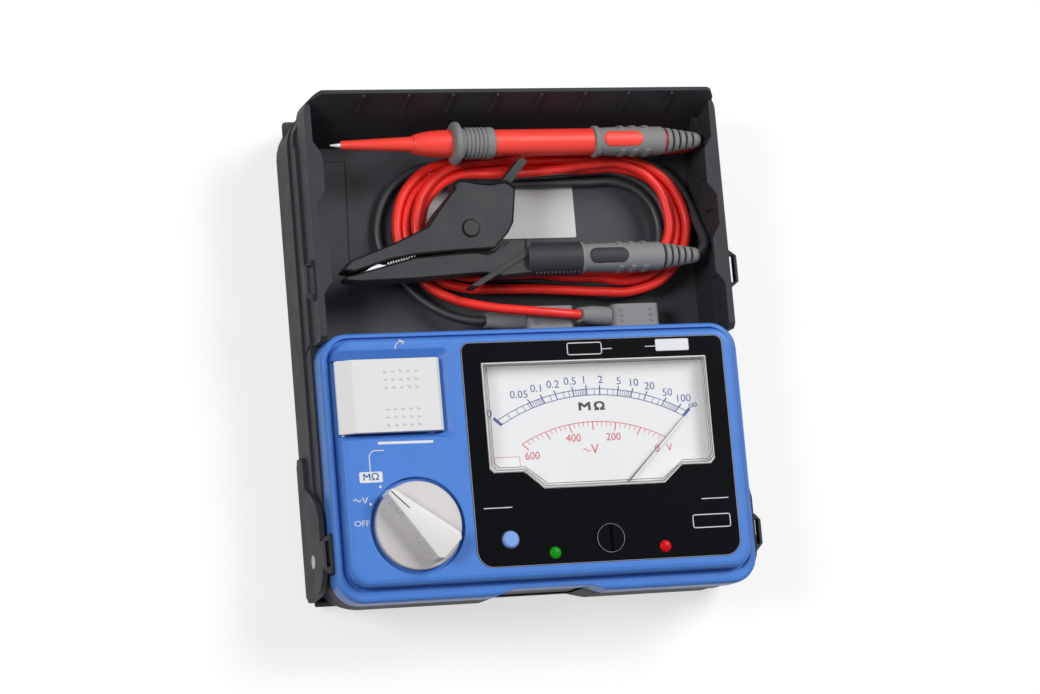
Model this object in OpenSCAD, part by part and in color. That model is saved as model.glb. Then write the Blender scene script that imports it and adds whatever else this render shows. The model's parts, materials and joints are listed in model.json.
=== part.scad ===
// Analogue insulation tester in its hard case, with the lead compartment open
// and the lid stored round the back of the case. Millimetres.
// X runs across the case, Y up the panel towards the lead compartment and Z out
// of the panel. The origin is the middle of the footprint on the lid's outer face.

/* [Case] */
// Outer width of the case across the base walls
case_w = 154; // [140:1:170]
// Outer height of the case, from the instrument's lower edge to the top wall
case_h = 177; // [165:1:190]
// Height of the seam between the base and the upper walls
seam_z = 29.3; // [27:0.1:31]
// Height of the side rims of the lead compartment
rim_z = 40.7; // [38:0.1:42]
// Height of the top wall's lip
lip_z = 47; // [43:0.5:49]
// Height of the lead compartment's floor
floor_z = 12; // [10:0.5:14]
// Wall thickness of the upper walls
wall_t = 2.35; // [1.8:0.05:3]

/* [Lid] */
// Depth of the lid, plate included
lid_d = 22; // [18:0.5:24]
// Thickness of the lid's plate
lid_t = 2.2; // [1.5:0.1:3]
// Radius of the lid's hinge pins
hinge_pin_r = 2.4; // [1.5:0.1:3]

/* [Instrument] */
// Width of the blue front cover
cover_w = 152.4; // [140:0.2:156]
// Height of the front cover's raised face
face_z = 43.8; // [42:0.1:45]
// Height of the step round the front cover
step_z = 39; // [37:0.1:40]
// Width of the black face panel
panel_w = 96; // [85:0.5:105]
// Height of the black face panel, up the case
panel_h = 77.8; // [70:0.2:82]

/* [Controls] */
// Radius of the selector's disc
knob_r = 16; // [13:0.1:18]
// Height of the top of the selector's grip
knob_top = 52.9; // [49:0.1:53]
// Length of the measure key across the case
key_w = 36.9; // [32:0.1:38]
// Width of the measure key up the case
key_h = 25.2; // [22:0.1:26]
// Radius of the lamp button
lamp_button_r = 2.9; // [2:0.1:4]

/* [Leads] */
// Diameter of the test leads
lead_d = 3.4; // [3:0.1:4]
// Radius of the probe's barrel
barrel_r = 4.75; // [4:0.05:5.5]
// Radius of the probe's finger guard
guard_r = 7.2; // [6:0.1:8]

/* [Hidden] */

$fn = 64;
soft_fn = 32;      // circles inside hulls
gap = 0.3;         // clearance between pieces that move apart
eps = 0.01;

// Case
base_x = case_w / 2;
top_y = case_h / 2;
low_y = -case_h / 2;
upper_x = base_x - 1.2;
tray_back_z = 2.8;
lid_rim_x = 77.9;
lid_wall = 1.8;
tuck_x = 75.4;         // half width of the tray where the lid surrounds it
tuck_z = lid_d + gap;  // top of that narrower part
slope_foot_y = 75.5;   // foot of the slanted top wall inside the compartment
bay_y = 5.2;           // end of the instrument's pocket, start of the compartment

// Lid hinge
hinge_y = -71.5;
hinge_z = 21;
hinge_turn_r = hinge_z - tray_back_z;  // round on the tray's lower back edge
ear_x = 79.3;
ear_turn_r = 12;       // round on the ear, so that it clears the lower strap loop
post_y0 = -77.2;
post_y1 = -64;
post_top = 36.6;

// Instrument
cover_x = cover_w / 2;
cover_top_y = 4.4;
cover_low_y = -88.4;
face_x = 72.8;
face_top_y = 1.6;
face_low_y = -83.4;
panel_cx = 20.45;
panel_cy = -40.1;
panel_z = 44;
panel_t = 1.6;
board_z = 23.4;
board_t = 1.6;

// Controls
knob_c = [-47.8, -63.4];
knob_point = 135;      // direction in which the grip points at rest
lamp_c = [-15.56, -69.86];
green_c = [0.23, -75.1];
red_c = [40.54, -74.8];
zero_c = [20.7, -71];
key_x0 = -72.9;
key_y0 = -31.1;
key_pin_x = -70.6;
key_pin_z = 40.4;
key_c = [-47, -18.5];  // stem over the switch
key_pip_x0 = -55.6;
key_pip_y0 = -28.6;
key_pip_pitch = 2.75;
key_pip_field = 13;    // from one field of pips to the other
screw_places = [[-67.6, -70], [67.6, -70], [-67.6, -4], [67.6, -4]];
pivot_c = [20.45, -60.8];
needle_z = 40.9;
needle_rest = 44.7;    // direction of the needle at rest
scale_z = 39.2;
window_top_y = -8.3;
window_half = 41.3;

// Leads
plug_z = 21;
plug_y = 10.6;
red_plug_x = 44.5;
black_plug_x = 12.4;
probe_y = 71.6;
probe_z = 34;
clip_z = 32.5;
rivet_c = [-18, 40.6];
jaw_swing = 18;        // opening of the clip, in degrees
lead_r = lead_d / 2;
red_start_route = [[22.5, 10.6, 26.9], [18, 10.8, 28.3], [11, 11.4, 29], [2, 12.4, 28.7], [-7, 13.6, 27.7], [-15, 15.3, 26.4],
                   [-22, 17.6, 25], [-28, 20.8, 23.7], [-33, 25.2, 22.8]];
red_end_route = [[10, 68.8, 24.7], [18, 70.9, 24.1], [26, 71.5, 23.4], [34, 71.6, 22.6], [43, 71.6, 21.6], [52, 71.6, 20.4],
                 [60, 71.6, 19.4], [63.9, 71.6, 19.2], [67.6, 71.6, 20.2], [70.3, 71.6, 22.9], [71.3, 71.6, 26.6],
                 [70.3, 71.6, 30.3], [67.6, 71.6, 33], [63.9, 71.6, 34]];
black_start_route = [[-10.8, 10.6, 21], [-15, 10.9, 20.6], [-20, 12.2, 19.4], [-25.5, 14.9, 17.8], [-31, 19, 16.2], [-36, 24.2, 15]];
black_end_route = [[59.5, 65.6, 17.6], [65.2, 61.8, 17.6], [69, 56.2, 18.2], [70.8, 50, 20.2], [71.2, 45.6, 22.8],
                   [71.3, 41.2, 26.2], [71.3, 36.9, 29.3], [70.4, 33.4, 31.3], [67.8, 30.8, 32.2], [64.3, 29.9, 32.5]];

// Outline shapes

// A rectangle from (x0, y0) to (x1, y1) with one radius for its low corners and one for its high ones
module rounded_area(x0, y0, x1, y1, low_r, high_r) {
    translate([x0 + low_r, y0]) square([x1 - x0 - 2 * low_r, y1 - y0 - high_r]);
    translate([x0 + high_r, y1 - high_r - eps]) square([x1 - x0 - 2 * high_r, high_r + eps]);
    translate([x0, y0 + low_r]) square([x1 - x0, y1 - y0 - low_r - high_r]);
    for (x = [x0 + low_r, x1 - low_r]) translate([x, y0 + low_r]) circle(low_r);
    for (x = [x0 + high_r, x1 - high_r]) translate([x, y1 - high_r]) circle(high_r);
}

module slab(x0, y0, x1, y1, z0, z1, low_r, high_r) {
    translate([0, 0, z0]) linear_extrude(z1 - z0) rounded_area(x0, y0, x1, y1, low_r, high_r);
}

module box(x0, y0, z0, x1, y1, z1) {
    translate([x0, y0, z0]) cube([x1 - x0, y1 - y0, z1 - z0]);
}

// A plate whose upper edge is rounded over by edge_r
module soft_top_slab(x0, y0, x1, y1, z0, z1, r, edge_r) {
    hull() {
        for (x = [x0 + r, x1 - r], y = [y0 + r, y1 - r]) translate([x, y, z0])
            cylinder(h = z1 - z0 - edge_r, r = r, $fn = soft_fn);
        for (a = [30, 60, 90], x = [x0 + r, x1 - r], y = [y0 + r, y1 - r])
            translate([x, y, z1 - edge_r])
                cylinder(h = edge_r * sin(a), r = r - edge_r * (1 - cos(a)), $fn = soft_fn);
    }
}

module turned_x(x0, y, z) { translate([x0, y, z]) rotate([0, 90, 0]) children(); }

// Case

module strap_loop(side, y0, y1, z) {
    mirror([side < 0 ? 1 : 0, 0, 0]) translate([upper_x - 0.2, (y0 + y1) / 2, z - 1.6])
        linear_extrude(3.2) strap_eye((y1 - y0) / 2, 3.8);
}

// Base of the case: pocket for the instrument below, raised compartment floor above
module case_tray() color("#3a3b3e") difference() {
    union() {
        intersection() {
            union() {
                slab(-tuck_x, low_y + 0.4, tuck_x, top_y - 2.4, tray_back_z, tuck_z, 13, 13);
                slab(-base_x, low_y + 0.2, base_x, top_y - 0.2, tuck_z, seam_z, 13, 14);
            }
            round_edge_space(hinge_turn_r);
        }
        for (side = [-1, 1]) strap_post(side);
    }
    instrument_pocket();
    slab(-tuck_x + 2.2, bay_y - 2, tuck_x - 2.2, top_y - 4.6, floor_z, seam_z + 1, 1, 9);
    back_hollows();
    finger_recess(0, seam_z + 1);
    for (side = [-1, 1]) {
        turned_x(side * (base_x - 3.3) - 4, hinge_y, hinge_z) cylinder(h = 8, r = hinge_pin_r);
        side_slot(side);
        side_slit(side);
    }
    battery_door_area(tray_back_z - 1, 8, 0.4);
    for (p = screw_places) translate([p[0], p[1], 0]) {
        cylinder(h = 10, r = 2);
        cylinder(h = 3.9, r = 4.4);
    }
}

module instrument_pocket() intersection() {
    slab(-tuck_x + 1.6, low_y + 2.2, tuck_x - 1.6, bay_y, 4.8, seam_z + 1, 12, 3);
    round_edge_space(hinge_turn_r - 1.6);
}

// Space above the case's lower back edge, which is round about the hinge line with radius r
module round_edge_space(r) {
    box(-base_x, hinge_y, 0, base_x, top_y, 60);
    box(-base_x, low_y, hinge_z, base_x, top_y, 60);
    turned_x(-base_x, hinge_y, hinge_z) cylinder(h = 2 * base_x, r = r, $fn = 96);
}

// Post that stands up beside the instrument and carries the lower strap loop
module strap_post(side) {
    mirror([side < 0 ? 1 : 0, 0, 0]) {
        box(base_x - 2.3, post_y0, seam_z - 1, base_x, post_y1, post_top);
        translate([base_x - 0.2, (post_y0 + post_y1) / 2, post_top - 3.2]) linear_extrude(3.2) strap_eye(6.4, 2.9);
    }
}

// Outline of a strap loop that stands out from x = 0
module strap_eye(half, depth) difference() {
    polygon([[0, -half], [0.9, -half], [depth, -half + 2.2], [depth, half - 2.2], [0.9, half], [0, half]]);
    translate([0.6, -half + 2]) square([depth - 1.5, 2 * half - 4]);
}

// Pockets left behind the raised floor, with ribs between them
module back_hollows() {
    columns = 4;
    rows = 2;
    x0 = -tuck_x + 2.4;
    y0 = bay_y + 2;
    pitch_x = (2 * tuck_x - 4.8 + 1.8) / columns;
    pitch_y = (top_y - 6 - y0 + 1.8) / rows;
    for (i = [0 : columns - 1], j = [0 : rows - 1])
        translate([x0 + i * pitch_x, y0 + j * pitch_y, tray_back_z - 1])
            cube([pitch_x - 1.8, pitch_y - 1.8 - (j == rows - 1 ? 6 : 0), floor_z - 2 - tray_back_z + 1]);
}

module finger_recess(z0, z1) {
    translate([0, 0, z0]) linear_extrude(z1 - z0)
        polygon([[-20, low_y - 1], [-20, low_y + 0.2], [-13.8, low_y + 2.3],
                 [13.8, low_y + 2.3], [20, low_y + 0.2], [20, low_y - 1]]);
}

module side_slot(side) {
    translate([side * base_x, 75.4, 28.2]) cube([3, 5.8, 2.6], center = true);
}

// Slanting slit where the upper wall ends beside the instrument
module side_slit(side) {
    translate([side * (base_x + 0.4), 1.2, 26]) rotate([-15, 0, 0]) cube([2, 0.9, 8], center = true);
}

module battery_door_area(z0, z1, slack) {
    box(-32 - slack, -75 - slack, z0, 32 + slack, -20 + slack, z1);
}

// Upper walls of the lead compartment, with the flat retaining tabs on their rims
module compartment_walls() color("#3d3e41") {
    intersection() {
        union() {
            for (side = [-1, 1]) side_wall(side);
            top_wall();
        }
        upper_outline();
    }
    for (side = [-1, 1]) {
        retaining_tab(side, 72, 49.8);
        retaining_tab(side, 39.6, 17.8);
        strap_loop(side, 16.6, 30.4, 37);
    }
    top_ribs();
}

module side_wall(side) {
    z0 = seam_z + 0.05;
    mirror([side < 0 ? 1 : 0, 0, 0]) translate([upper_x, 0, 0]) rotate([0, -90, 0])
        linear_extrude(wall_t)
            polygon([[z0, 1.8], [z0, top_y - 1.2], [rim_z, top_y - 1.2], [rim_z, 3.6], [rim_z - 1.8, 1.8]]);
    for (y = [22, 34, 46, 58, 70])
        box(side * (upper_x - wall_t - 0.2) - 0.5, y, z0, side * (upper_x - wall_t - 0.2) + 0.5, y + 1, rim_z - 4);
}

// Slanted inner face, upright outer face and a groove up between them
module top_wall() {
    outer_y = top_y - 0.1;
    inner_x = tuck_x - 2.26;
    difference() {
        intersection() {
            translate([-upper_x, 0, 0]) rotate([90, 0, 90]) linear_extrude(2 * upper_x)
                polygon([[slope_foot_y, floor_z + 0.05], [outer_y - 5, floor_z + 0.05], [outer_y - 5, seam_z + 0.05],
                         [outer_y, seam_z + 0.05], [outer_y, lip_z - 1.2], [outer_y - 0.4, lip_z], [outer_y - 1.6, lip_z]]);
            union() {
                slab(-inner_x, 0, inner_x, top_y - 4.66, floor_z, seam_z + 1, 1, 8.94);
                box(-base_x, 0, seam_z + 0.05, base_x, top_y, 60);
            }
        }
        translate([-60, 0, 0]) rotate([90, 0, 90]) linear_extrude(120)
            polygon([[slope_foot_y + 2.2, floor_z - 1], [outer_y - 6.6, floor_z - 1], [outer_y - 6.6, floor_z + 11]]);
    }
}

// Outline of the upper walls: rounded upper corners, and a lip that comes down to the side rims
module upper_outline() intersection() {
    slab(-upper_x, -10, upper_x, top_y - 0.1, 0, 60, 1, 7);
    translate([0, top_y, 0]) rotate([90, 0, 0]) linear_extrude(110)
        polygon([[-upper_x, 0], [upper_x, 0], [upper_x, rim_z], [upper_x - 3.6, lip_z], [-upper_x + 5.6, lip_z], [-upper_x, rim_z]]);
}

module retaining_tab(side, y_high, y_low) {
    edge = upper_x - wall_t + 0.2;
    reach = 3.2;
    translate([0, 0, rim_z - 1.5]) linear_extrude(1.5) mirror([side < 0 ? 1 : 0, 0])
        polygon([[edge, y_high], [edge - reach, y_high - 5], [edge - reach - 0.2, y_low + 4.8], [edge, y_low]]);
}

module top_ribs() {
    count = 8;
    pitch = 16.2;
    for (i = [0 : count - 1]) translate([-56 + i * pitch, 0, 0]) rotate([90, 0, 90]) linear_extrude(0.9)
        polygon([[86.7, lip_z - 0.6], [85.7, lip_z - 0.8], [82.2, lip_z - 12], [83.3, lip_z - 12]]);
}

module lid_pins() color("#55565a")
    for (side = [-1, 1]) turned_x(side * 76.45 - 3, hinge_y, hinge_z)
        cylinder(h = 6, r = hinge_pin_r - 0.05);

// Lid, stored round the back of the case, with a curled lower end and two hinge ears
module lid() color("#38393c") difference() {
    union() {
        difference() {
            lid_outer();
            translate([0, 0, lid_t])
                slab(-lid_rim_x + lid_wall, -110, lid_rim_x - lid_wall, top_y - lid_wall, 0, 40, 1, 13.2);
            box(-100, -120, -5, 100, hinge_y, 60);
        }
        lid_curl();
        for (side = [-1, 1]) lid_ear(side);
    }
    for (side = [-1, 1]) turned_x(side * 79 - 4, hinge_y, hinge_z) cylinder(h = 8, r = hinge_pin_r);
}

module lid_outer() hull() {
    inset = 1.9;
    slab_corners(lid_rim_x - inset, 0, 3);
    slab_corners(lid_rim_x - 0.5, 4, 1);
    slab_corners(lid_rim_x, lid_d - 1, 1);
}

// Corner rods of the lid's outer form at one height, with the given half width
module slab_corners(half_w, z, h) {
    r = 15;
    for (x = [-half_w + r, half_w - r]) {
        translate([x, top_y - (lid_rim_x - half_w) - r, z]) cylinder(h = h, r = r, $fn = soft_fn);
        translate([x > 0 ? x : -half_w, hinge_y - 12, z]) cube([r, 1, h]);
    }
}

// The plate's lower end bends round the hinge line
module lid_curl() {
    curl = 42;
    set_in = 0.06;         // keeps the bend's faces inside the plate's where they meet
    inner = hinge_z - lid_t;
    turned_x(-lid_rim_x + 2, hinge_y, hinge_z) rotate([0, 0, -curl])
        arc_bar(inner + set_in, hinge_z - set_in, curl + 3, 2 * lid_rim_x - 4);
}

module arc_bar(r0, r1, sweep, length) {
    linear_extrude(length) intersection() {
        difference() {
            circle(r1, $fn = 96);
            circle(r0, $fn = 96);
        }
        polygon([[0, 0], [r1 * 3, 0], [r1 * 3, r1 * 3], [r1 * 3 * cos(sweep), r1 * 3 * sin(sweep)]]);
    }
}

// Hinge ear: a wide lower half round the pin and a narrow finger above it
module lid_ear(side) {
    t = 1.9;
    turn = [for (a = [100 : 13 : 178]) [hinge_z + ear_turn_r * sin(a), hinge_y + ear_turn_r * cos(a)]];
    mirror([side < 0 ? 1 : 0, 0, 0]) translate([ear_x, 0, 0]) rotate([0, -90, 0]) linear_extrude(t)
        polygon(concat([[31.6, -57.5], [31.6, -70]], turn,
            [[17, -84], [10, -84.5], [7, -82], [7, -37], [8.5, -34.4], [13.5, -34.4], [15.2, -36.5],
             [15.8, -45.5], [22.5, -48.4], [29, -52.5]]));
}

module floor_plate_label() color("#b9b9bb")
    slab(-32, 41.5, 29.2, 67.2, floor_z + 0.02, floor_z + 0.27, 0.8, 0.8);

// Instrument housing

module rear_cover() color("#2f3033") difference() {
    union() {
        intersection() {
            slab(-73.2, -85.7, 73.2, 4.1, 5.1, seam_z, 11, 2);
            round_edge_space(hinge_turn_r - 2.1);
        }
        slab(-72.6, -85.1, 72.6, 1.6, seam_z - 1, seam_z + 2.6, 10, 6.6);
    }
    difference() {
        intersection() {
            slab(-71.2, -83.7, 71.2, 0.2, 7.1, seam_z + 3, 9, 4);
            round_edge_space(hinge_turn_r - 4.1);
        }
        for (p = screw_places) translate([p[0], p[1], 7]) cylinder(h = (p[1] < -20 ? board_z : 25.7) - 7.1, r = 3.8);
        box(-3, -26.6, 6.8, 3, -19, 8.2);
    }
    difference() {
        battery_door_area(5, 8, 0.4);
        box(-3, -26.6, 6.8, 3, -19, 8.2);
    }
    for (x = [black_plug_x, red_plug_x]) translate([x, 5, plug_z]) rotate([90, 0, 0]) cylinder(h = 6, r = 5);
    for (p = screw_places) translate([p[0], p[1], 4]) cylinder(h = 30, r = 1.7);
    translate([0, -23.8, 6]) cylinder(h = 4, r = 1.66);
    finger_recess(4, seam_z + 4);
}

// Blue front cover: a stepped flange, a groove and the raised face with its pockets
module front_cover() color("#4577c8") difference() {
    union() {
        soft_top_slab(-cover_x, cover_low_y, cover_x, cover_top_y, seam_z + 0.3, step_z, 9.5, 1.6);
        soft_top_slab(-face_x, face_low_y, face_x, face_top_y, step_z - 2, face_z, 7, 2.2);
        screw_bosses();
    }
    for (p = screw_places) translate([p[0], p[1], 25]) cylinder(h = 8, r = 1.7);
    difference() {
        slab(-face_x - 1.1, face_low_y - 1.1, face_x + 1.1, face_top_y + 1.1, step_z - 1.4, step_z + 1, 8, 8);
        slab(-face_x, face_low_y, face_x, face_top_y, step_z - 2, step_z + 2, 7, 7);
    }
    difference() {
        slab(-74, -86.1, 74, 2.1, 29, 36.8, 9, 7.4);
        screw_bosses();
    }
    difference() {
        slab(-70.6, -81.2, 70.6, -0.6, 36, face_z - 2, 6, 5);
        screw_bosses();
        slab(key_x0 - 1, key_y0 - 4.4, key_x0 + key_w + 6.4, key_y0 + key_h + 5.4, 34, 50, 3, 3);
        translate([knob_c[0], knob_c[1], 39.6]) cylinder(h = 20, r = knob_r + 2.4);
    }
    key_pocket();
    panel_seat();
    translate([knob_c[0], knob_c[1], face_z - 1.6]) cylinder(h = 5, r = knob_r + 0.7);
    translate([knob_c[0], knob_c[1], 30]) cylinder(h = 20, r = 4.2);
    for (c = [green_c, red_c]) translate([c[0], c[1], 30]) cylinder(h = 14, r = 2.7);
    finger_recess(29, step_z + 1);
    for (side = [-1, 1]) mirror([side < 0 ? 1 : 0, 0, 0])
        box(base_x - 2.7, post_y0 - 0.4, 29, base_x + 1, post_y1 + 0.4, post_top + 0.3);
}

// Columns under the face that the case screws bite into
module screw_bosses() {
    for (p = screw_places) translate([p[0], p[1], 26]) cylinder(h = 16, r = 3.4);
}

// Pocket whose sides slope down to the measure key
module key_pocket() {
    x0 = -face_x - 1.1;
    x1 = key_x0 + key_w + 0.5;
    y0 = key_y0 - 0.5;
    y1 = key_y0 + key_h + 0.5;
    box(x0, y0, 37.6, x1, y1, 50);
    hull() {
        slab(x0, y0, x1, y1, 41.4, 41.5, 1.2, 1.2);
        slab(x0, y0 - 2, x1 + 3.6, y1 + 3.2, face_z + 0.2, face_z + 0.3, 2, 2);
    }
    translate([key_c[0], key_c[1], 30]) cylinder(h = 12, r = 3.4);
    translate([key_pin_x, key_y0 - 1.8, key_pin_z]) rotate([-90, 0, 0]) cylinder(h = key_h + 3.6, r = 0.82);
}

// Recess that carries the black panel, open below it for the meter
module panel_seat() {
    slab(panel_cx - panel_w / 2 - 0.15, panel_cy - panel_h / 2 - 0.15,
         panel_cx + panel_w / 2 + 0.15, panel_cy + panel_h / 2 + 0.15, panel_z - panel_t, 50, 5.8, 3);
    slab(panel_cx - panel_w / 2 + 2, panel_cy - panel_h / 2 + 2,
         panel_cx + panel_w / 2 - 2, panel_cy + panel_h / 2 - 2, 30, 50, 4, 2);
}

// Outline of the meter window, grown by g: wide above, stepped in below
module window_outline(g) {
    half_mid = 28.8;
    half_low = 22;
    high = window_top_y + g;
    step = -46.6 - g;
    low = -52.7 - g;
    polygon([[panel_cx - window_half - g, high], [panel_cx - window_half - g, step + 1.6],
             [panel_cx - window_half - g + 1.6, step], [panel_cx - half_mid, step],
             [panel_cx - half_low - g / 2, low], [panel_cx + half_low + g / 2, low],
             [panel_cx + half_mid, step], [panel_cx + window_half + g - 1.6, step],
             [panel_cx + window_half + g, step + 1.6], [panel_cx + window_half + g, high]]);
}

module face_panel() color("#0a0b10") difference() {
    slab(panel_cx - panel_w / 2, panel_cy - panel_h / 2, panel_cx + panel_w / 2, panel_cy + panel_h / 2,
         panel_z - panel_t, panel_z, 5.7, 2.9);
    translate([0, 0, 40]) linear_extrude(8) window_outline(0.15);
    translate([lamp_c[0], lamp_c[1], 40]) cylinder(h = 8, r = lamp_button_r + 0.25);
    translate([green_c[0], green_c[1], 40]) cylinder(h = 8, r = 2.1);
    translate([red_c[0], red_c[1], 40]) cylinder(h = 8, r = 2.1);
    translate([zero_c[0], zero_c[1], 40]) cylinder(h = 8, r = 5.3);
}

module case_screws() color("#8d8f93") for (p = screw_places) translate([p[0], p[1], 0]) difference() {
    union() {
        translate([0, 0, 2.9]) cylinder(h = 1, r = 4);
        translate([0, 0, 2.9]) cylinder(h = 29, r = 1.65);
    }
    translate([0, 0, 2]) cylinder(h = 1.6, r = 1.4, $fn = 6);
}

// Power

module battery_holder() color("#26272a") difference() {
    slab(-31.6, -75.4, 31.6, -20.6, 8.4, 22.6, 2, 2);
    slab(-30.4, -74.2, 30.4, -21.8, 5, 21.4, 1, 1);
    for (x = [-22.5, 22.5]) translate([x, -48, 20]) cylinder(h = 4, r = 2);
}

module batteries() color("#4c6f52")
    for (i = [0 : 3]) translate([-22.5 + i * 15, 0, 14.2]) mirror([0, i % 2, 0]) translate([0, i % 2 ? 48 : -48, 0])
        rotate([90, 0, 0]) {
            translate([0, 0, -24.3]) cylinder(h = 49.5, r = 7.1);
            translate([0, 0, -25.4]) cylinder(h = 1.2, r = 2.7);
        }

module battery_contacts() color("#c8b071")
    for (i = [0 : 3]) translate([-22.5 + i * 15, 0, 0]) for (y = [-73.8, -22.4])
        box(-5, y, 10, 5, y + 0.4, 19);

module battery_cover() color("#343538") difference() {
    union() {
        slab(-32, -75, 32, -20, tray_back_z, 5, 2, 2);
        slab(-29.6, -73.6, 29.6, -22.4, 5, 6.6, 2, 2);
    }
    translate([0, -23.8, 0]) cylinder(h = 8, r = 1.7);
    translate([0, -23.8, 0]) cylinder(h = 4.2, r = 3.1);
    for (x = [-9 : 4.5 : 9]) translate([x, -70, tray_back_z - 1]) cube([1.6, 10, 1.5], center = false);
}

module battery_cover_screw() color("#9a9ca0") translate([0, -23.8, 0]) {
    translate([0, 0, 3]) cylinder(h = 1.2, r = 2.9);
    translate([0, 0, 3]) cylinder(h = 5, r = 1.65);
}

// Electronics

module circuit_board() color("#2e6b3c") difference() {
    union() {
        slab(-70.4, -83, 70.4, -22, board_z, board_z + board_t, 8.6, 3);
        slab(-70.4, -30, -2, -2, board_z, board_z + board_t, 1, 3);
    }
    for (p = screw_places) translate([p[0], p[1], board_z - 1]) cylinder(h = 4, r = 4);
    finger_recess(board_z - 1, board_z + 4);
}

module board_parts() color("#b08a3c") {
    z = board_z + board_t;
    for (x = [-2, 6]) translate([x, -78.5, z]) cylinder(h = 5.4, r = 3);
    box(54, -46, z, 66, -34, z + 8);
    box(54, -64, z, 64, -52, z + 5);
    for (x = [-25 : 4 : -13]) box(x, -38, z, x + 2.4, -30, z + 2);
    box(-26, -56, z, -12, -44, z + 2.2);
    translate([60, -74, z]) cylinder(h = 9, r = 4);
}

module transformer() color("#8c6b3a") {
    z = board_z + board_t;
    box(52, -32, z, 68, -24, z + 9.8);
    box(55, -33.5, z + 1.5, 65, -22.5, z + 8.3);
}

module terminal_block() color("#1f2023") difference() {
    union() {
        for (x = [black_plug_x, red_plug_x]) box(x - 7.5, -19.6, 12.5, x + 7.5, 0, 29.5);
        box(black_plug_x, -19.6, 7.2, red_plug_x, -4, 11.9);
        for (x = [black_plug_x + 3, red_plug_x - 3]) box(x - 3, -19.6, 7.2, x + 3, -4, 12.6);
    }
    for (x = [black_plug_x, red_plug_x]) translate([x, 1, plug_z]) rotate([90, 0, 0]) {
        cylinder(h = 10, r = 4.7);
        cylinder(h = 22, r = 3.2);
    }
}

module terminal_sockets() color("#c9a54e") for (x = [black_plug_x, red_plug_x])
    translate([x, -9, plug_z]) rotate([90, 0, 0]) difference() {
        cylinder(h = 10.4, r = 3.2);
        translate([0, 0, -1]) cylinder(h = 10.4, r = 2.05);
    }

// Meter

module meter_housing() color("#d9d9d7") difference() {
    translate([0, 0, 35.6]) linear_extrude(6.6) window_outline(1.4);
    translate([0, 0, scale_z - 0.8]) linear_extrude(8) window_outline(-0.2);
    translate([pivot_c[0], -56, scale_z]) cylinder(h = 5, r = 12);
}

// Clear lens with a bevelled border that stands a little above the panel
module meter_window() color("#dfe6ea", 0.35) {
    translate([0, 0, 42.3]) linear_extrude(2) window_outline(0);
    translate([0, 0, 44.3]) linear_extrude(0.5) window_outline(-0.5);
    translate([0, 0, 44.8]) linear_extrude(0.5) window_outline(-1.1);
}

module scale_plate() color("#ededeb")
    translate([0, 0, scale_z - 0.8]) linear_extrude(0.8) window_outline(-0.4);

module meter_magnet() color("#6b6e73") translate([pivot_c[0], pivot_c[1], 27]) difference() {
    cylinder(h = 7.4, r = 4.6);
    translate([0, 0, -1]) cylinder(h = 10, r = 1);
}

// Soft iron ring round the coil, on two feet that stand on the board
module meter_yoke() color("#77797d") translate([pivot_c[0], pivot_c[1], 0]) {
    translate([0, 0, 27]) difference() {
        cylinder(h = 7.4, r = 11);
        translate([0, 0, -1]) cylinder(h = 10, r = 7.4);
    }
    for (side = [-1, 1]) box(side * 6.15 - 1.45, -1, 28, side * 6.15 + 1.45, 1, 33);
    for (x = [-9.2, 9.2]) translate([x, 0, board_z + board_t]) cylinder(h = 2.4, r = 1.6);
    translate([-10, -1.5, board_z + board_t]) cube([20, 3, 0.6]);
    translate([0, 0, board_z + board_t]) cylinder(h = 0.8, r = 3);
}

// Wire coil on its former, which turns in the gap between magnet and yoke
module moving_coil() color("#b8732c") translate([pivot_c[0], pivot_c[1], 0]) rotate([0, 0, needle_rest])
    difference() {
        translate([-6.8, -1.6, 26]) cube([13.6, 3.2, 9.4]);
        translate([-5.2, -3, 26.8]) cube([10.4, 6, 7.9]);
    }

// Pointer with its hub, spindle and counterweights
module needle() color("#3c3d40") translate([pivot_c[0], pivot_c[1], 0]) rotate([0, 0, needle_rest]) {
    translate([0, 0, needle_z]) rotate([0, 0, 0]) linear_extrude(0.35)
        polygon([[0, -0.55], [30, -0.3], [45.6, -0.18], [45.6, 0.18], [30, 0.3], [0, 0.55]]);
    translate([0, 0, 35.42]) cylinder(h = needle_z - 35.42 + 0.6, r = 1.2);
    translate([-6, -0.4, needle_z]) cube([6, 0.8, 0.35]);
    translate([-6.4, 0, needle_z - 0.2]) cylinder(h = 0.8, r = 1);
}

module zero_adjuster() color("#101114") translate([zero_c[0], zero_c[1], 0]) difference() {
    union() {
        translate([0, 0, 43]) cylinder(h = 1.5, r = 5.1);
        translate([0, 0, 41.6]) cylinder(h = 0.5, r = 5.6);
        translate([0, 0, 38]) cylinder(h = 5.2, r = 2);
        translate([0, 1.1, 36.4]) cylinder(h = 2, r = 0.6);
    }
    translate([-0.8, -6, 43.5]) cube([1.6, 12, 2]);
}

// Measure key

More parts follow.
